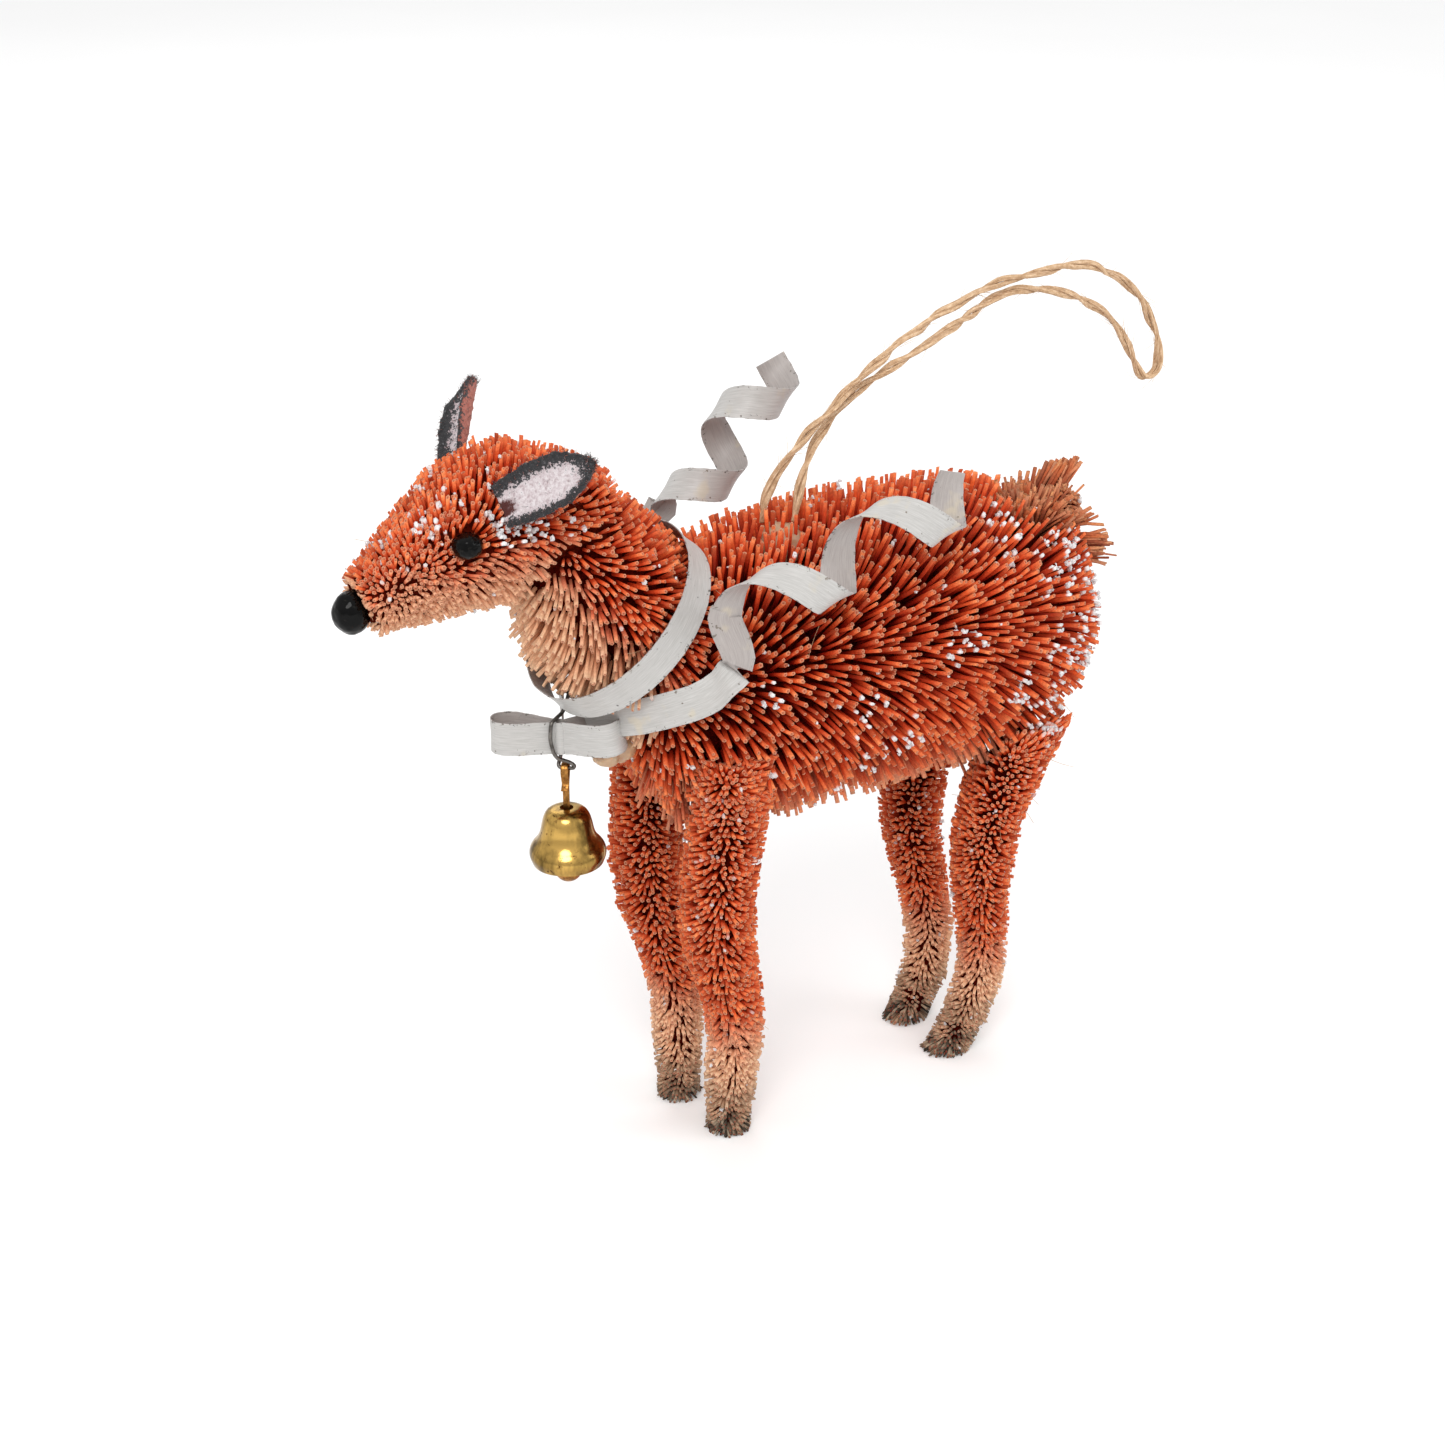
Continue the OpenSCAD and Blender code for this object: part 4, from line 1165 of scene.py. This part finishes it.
def curled_tail(name, lead, ends, first, last, seed):
    """The ribbon from the bow to its cut end: given rows, then a right-handed helix."""
    e0, e1 = (np.array(e, float) for e in ends)
    axis = unit(e1 - e0)
    f = unit(CURL_FRONT - axis * (CURL_FRONT @ axis))
    g = np.cross(axis, f)
    rows = [list(row) for row in lead]
    for degrees in range(first, last + 1, 15):
        turn = math.radians(degrees)
        n = math.cos(turn) * f + math.sin(turn) * g
        along = (e1 - e0) / (2 * math.pi) + 4.2 * (-math.sin(turn) * f + math.cos(turn) * g)
        rows.append([*(e0 + (e1 - e0) * degrees / 360 + 4.2 * n), *unit(np.cross(n, unit(along)))])
    fine = smooth_path(rows, 4)
    return ribbon(name, fine[:, :3] * MM, fine[:, 3:], RIBBON_W, RIBBON_T, seed=seed, cup=-0.12 * MM)


LEFT_LEAD = (
    (-26.6, -1.9, 70, 0, 0, 1), (-24.4, -5, 71.2, 0, 0, 1), (-22.5, -9.5, 73, 0.1, 0, 1),
    (-20, -13.5, 75, 0.2, 0, 1), (-16.6, -16.5, 77, 0.4, 0, 1), (-14.2, -18, 79.6, 0.6, 0, 0.8),
    (-12.2, -18, 82, 0.8, 0.1, 0.6),
)
RIGHT_LEAD = (
    (-28.2, 1.6, 71, 0, 0, 1), (-26, 6.5, 71.5, 0, 0, 1), (-23, 11.5, 73, 0.1, 0, 1),
    (-19, 16, 75.5, 0.3, 0, 1), (-13, 19.5, 79, 0.5, 0.1, 0.9), (-7, 21.5, 83, 0.6, 0.2, 0.8),
)
place(curled_tail("left_curled_ribbon", LEFT_LEAD, ((-5.7, -20.5, 91.2), (12.2, -20.5, 97)), -165, 590, 6), paint,
      "fawn", "painted_ribbon", ["left_ribbon_tail"])
place(curled_tail("right_curled_ribbon", RIGHT_LEAD, ((5.1, 20.5, 91.8), (14, 20.5, 102.7)), -130, 560, 7), paint,
      "fawn", "painted_ribbon", ["right_ribbon_tail"])

# ---------------------------------------------------------------- making: wire, strap, bell, clapper
HOOK = (
    (1.2, 2.2, 7.4), (0.9, 1.8, 5.4), (0.3, 1.2, 3.5), (-0.4, 0, 2.8), (-0.9, -1.1, 2.3), (-1.1, -1.25, 0.4),
    (-0.8, -1.2, -1.5), (-0.3, -0.9, -2.8), (0.4, -0.4, -3.3), (1.2, -0.1, -3.7), (1.8, 0, -4.2),
    (1.7, 0, -4.6), (1.2, 0, -4.7), (0.6, 0, -4.7), (0, 0, -4.7), (-0.4, 0.2, -4.3),
    (-0.2, 0.9, -3.3), (0, 1.2, -2), (0, 1.2, 0), (0.2, 1.2, 1.6),
)
steel = metal_material("aged_steel_wire", (0.2, 0.185, 0.17), (0.1, 0.07, 0.05), 0.38, 1100)
old_brass = metal_material("toned_brass_strap", (0.5, 0.23, 0.06), (0.14, 0.055, 0.02), 0.34, 900, 0.56)
# The bell's upright dark streaks are painted reflection bands
brass = metal_material("polished_brass", (0.6, 0.37, 0.1), (0.12, 0.055, 0.015), 0.2, 360, 0.6,
                       stretch=0.22, wear_and_reflection_tone=0.2)
hook_line = smooth_path(HOOK, 10)
wander = np.array([noise.noise_vector(Vector(p) * 0.7) for p in hook_line]) * 0.06
hook = mesh_of("steel_hook", *[(moved(p, BOW) * MM, f) for p, f in [tube(hook_line + wander, 0.27, 14)]][0])
place(hook, steel, "fawn", "steel_wire", ["hook_wire"])

EYE_U, CROWN_DROP, LINK_DROP, RING_R = 0.6, 10.7, 14.3, 0.85


def ring_parts(centre, radius, wire_r, across):
    """A wire ring standing in the plane of Z and the direction at right angles to across."""
    across = unit(across)
    flat = np.cross(across, (0, 0, 1))
    a = np.linspace(0, 2 * math.pi, 49)
    line = np.array(centre) + radius * (np.cos(a)[:, None] * flat + np.sin(a)[:, None] * np.array((0, 0, 1)))
    return tube(line, wire_r, 16)


def folded_strip(path, width, thick):
    """A flat strip with rounded edges that follows a path in the YZ plane, its width along X."""
    path = smooth_path(path, 8)
    t = headings(path)
    wide = np.tile((1.0, 0, 0), (len(path), 1))
    turn = np.linspace(0, 0.35, len(path))[:, None]
    normal = unit(np.cross(t, wide))
    wide, normal = wide * np.cos(turn) + normal * np.sin(turn), normal * np.cos(turn) - wide * np.sin(turn)
    angles = np.arange(16) * math.pi / 8
    x = np.sign(np.cos(angles)) * np.abs(np.cos(angles)) ** 0.45 * width / 2
    y = np.sign(np.sin(angles)) * np.abs(np.sin(angles)) ** 0.7 * thick / 2
    points = path[:, None] + x[None, :, None] * wide[:, None] + y[None, :, None] * normal[:, None]
    n, faces = len(angles), []
    for i in range(len(path) - 1):
        for j in range(n):
            k = (j + 1) % n
            faces.append((i * n + j, i * n + k, (i + 1) * n + k, (i + 1) * n + j))
    faces.append(tuple(range(n - 1, -1, -1)))
    faces.append(tuple((len(path) - 1) * n + j for j in range(n)))
    return points.reshape(-1, 3), faces


def lathe(profile, segments, dent=0.0, seed=0.0):
    """A closed profile turned round the Z axis, with soft dents."""
    profile = np.array(profile, float)
    a = np.arange(segments) * 2 * math.pi / segments
    points = []
    for r, z in profile:
        for turn in a:
            grow_by = 1 + dent * noise.noise(Vector((math.cos(turn) * 1.3, math.sin(turn) * 1.3, z * 0.35 + seed)))
            points.append((r * grow_by * math.cos(turn), r * grow_by * math.sin(turn), z))
    n, rows = segments, len(profile)
    faces = [((i % rows) * n + j, (i % rows) * n + (j + 1) % n, ((i + 1) % rows) * n + (j + 1) % n,
              ((i + 1) % rows) * n + j) for i in range(rows) for j in range(n)]
    return np.array(points), [f[::-1] for f in faces]


ring_z = -4.7 + 0.65 - RING_R
STRIP = (
    (0, -0.95, ring_z - 2.9), (0, -0.55, ring_z - 2.5), (0, -0.26, ring_z - 2.1), (0, -0.42, ring_z - 1.5),
    (0, -0.72, ring_z - 0.7), (0, -0.82, ring_z), (0, -0.6, ring_z + 0.6), (0, 0, ring_z + 0.85),
    (0, 0.6, ring_z + 0.6), (0, 0.82, ring_z), (0, 0.62, ring_z - 0.7), (0, 0.28, ring_z - 1.5),
    (0, 0.06, ring_z - 2.2), (0, 0, ring_z - 3), (0, 0, -CROWN_DROP - 1.5), (0, 0, -LINK_DROP + RING_R - 0.1),
)
strap_parts = [
    folded_strip(STRIP, 1.05, 0.26),
    lathe([(0.1, -CROWN_DROP - 0.95), (1.5, -CROWN_DROP - 0.95), (1.6, -CROWN_DROP - 0.85),
           (1.5, -CROWN_DROP - 0.66), (0.1, -CROWN_DROP - 0.65)], 48),
    ring_parts((0, 0, -LINK_DROP), RING_R, 0.22, (1, 0, 0)),
]
AT_EYE = BOW @ Matrix.Translation((EYE_U, 0, 0))
points, faces = joined(strap_parts)
place(mesh_of("brass_strap", moved(points, AT_EYE) * MM, faces), old_brass, "strap", "brass_strap", ["bell_strap"])

OUTSIDE = ((0.95, 0), (1.9, -0.1), (2.7, -0.5), (3.2, -1.2), (3.5, -2.2), (3.75, -3.4), (4, -4.2), (4.4, -4.9),
           (4.9, -5.5), (5.25, -6.1), (5.4, -6.8), (5.3, -7.4), (5, -8.2))
INSIDE = ((4.6, -8.2), (4.75, -7.1), (4.35, -6.1), (3.85, -5.3), (3.5, -4.5), (3.2, -3.4), (2.9, -2.2), (2.6, -1.5),
          (2.1, -0.9), (1.6, -0.6), (0.95, -0.5))
profile = np.concatenate([smooth_path(OUTSIDE, 6), smooth_path(INSIDE, 6)])
points, faces = lathe(profile, 144, dent=0.012)
at_crown = AT_EYE @ Matrix.Translation((0, 0, -CROWN_DROP))
shell = mesh_of("brass_bell", moved(points, at_crown) * MM, faces)
shell.modifiers.new("edges", "EDGE_SPLIT").split_angle = math.radians(60)
apply_modifiers(shell)
place(shell, brass, "bell", "brass_bell", ["bell_shell"])

top_z = -LINK_DROP - RING_R + 0.58 - RING_R
ball_z = -CROWN_DROP - 9.4
ball = [(0.02, top_z - RING_R - 0.1), (0.33, top_z - RING_R - 0.12), (0.35, ball_z + 2.4), (0.5, ball_z + 2.05)]
ball += [(2 * math.sin(a), ball_z + 2 * math.cos(a)) for a in np.linspace(0.32, math.pi - 0.02, 40)]
ball.append((0.02, ball_z - 1.99))
points, faces = joined([ring_parts((0, 0, top_z), RING_R, 0.22, (0, 1, 0)), lathe(ball, 72, dent=0.03, seed=4.0)])
place(mesh_of("brass_clapper", moved(points, AT_EYE) * MM, faces), old_brass, "clapper", "brass_bell",
      ["bell_clapper"])

# ---------------------------------------------------------------- making: glue and snow
glue = glue_material()
dab = [lump("glue_a", Vector((-24.4, -3.4, 65.6)) * MM, (1.9 * MM,) * 3, 0.2, 2.0),
       lump("glue_b", Vector((-22.2, -3, 66.2)) * MM, (2.3 * MM,) * 3, 0.2, 5.0)]
shapes = [([v.co[:] for v in o.data.vertices], [tuple(p.vertices) for p in o.data.polygons]) for o in dab]
for piece in dab:
    bpy.data.objects.remove(piece)
blob = mesh_of("hot_glue_dab", *joined([(np.array(p), f) for p, f in shapes]))
melt = blob.modifiers.new("melt", "REMESH")
melt.mode = "VOXEL"
melt.voxel_size = 0.12 * MM
apply_modifiers(blob)
blob.data.polygons.foreach_set("use_smooth", [True] * len(blob.data.polygons))
place(blob, glue, "fawn", "dried_glue", ["glue_dab"])
centre, half = middle_of("twine_anchor")
place(lump("twine_glue_knot", centre, half * 0.98, 0.12, 9.0), glue, "fawn", "dried_glue", ["twine_anchor"])


def crystals(name, spots, sizes, seed):
    """Small rough grains, each a squashed ball of twenty faces."""
    import bmesh
    rng = np.random.default_rng(seed)
    made = bmesh.new()
    bmesh.ops.create_icosphere(made, subdivisions=1, radius=1)
    ball = np.array([v.co for v in made.verts])
    corners = [tuple(v.index for v in f.verts) for f in made.faces]
    made.free()
    parts = []
    for spot, size in zip(spots, sizes):
        grain = ball * rng.uniform(0.6, 1.2, (len(ball), 1)) * rng.uniform(0.7, 1.2, 3)
        parts.append((spot + grain * size, corners))
    points, faces = joined(parts)
    return mesh_of(name, points, faces, smooth=False)


rng = np.random.default_rng(76)
starts, ways = [], []
for brush_name in ("body_brush", "front_left_leg_brush", "rear_left_leg_brush", "head_brush", "neck_brush"):
    tips, normals, _ = tips_of[brush_name]
    for i in rng.choice(np.flatnonzero(tips[:, 2] > 6 * MM), 12):
        starts.append(tips[i] - normals[i] * 2 * MM)
        ways.append(normals[i] + rng.normal(size=3) * 0.7)
place(hairs("stray_fibres", starts, ways, rng.uniform(2.5, 5.5, len(starts)) * MM, 0.06 * MM, 75, curl=0.5,
            attribute="ply", value=(0.2, 0.7, 0, 1)), twine_paint, "fawn", "rust_bristles")

rng = np.random.default_rng(77)
spots, sizes = [], []
for tips, normals, coat in tips_of.values():
    chance = np.clip(coat[:, 2] * 0.8 + 0.02 + 0.02 * (normals[:, 2] > 0.2), 0, 1)
    for tip, normal, odds in zip(tips, normals, chance):
        if rng.random() > odds:
            continue
        for _ in range(rng.integers(1, 5) if odds > 0.3 else 1):
            spots.append(tip + normal * rng.uniform(-0.9, 0.15) * MM + rng.normal(size=3) * 0.22 * MM)
            sizes.append(rng.uniform(0.15, 0.45) * MM)
spots = np.array(spots)
spots[:, 2] = np.maximum(spots[:, 2], 0.8 * MM)
place(crystals("snow_grains", spots, sizes, 78), snow_material(), "fawn", "rust_bristles")
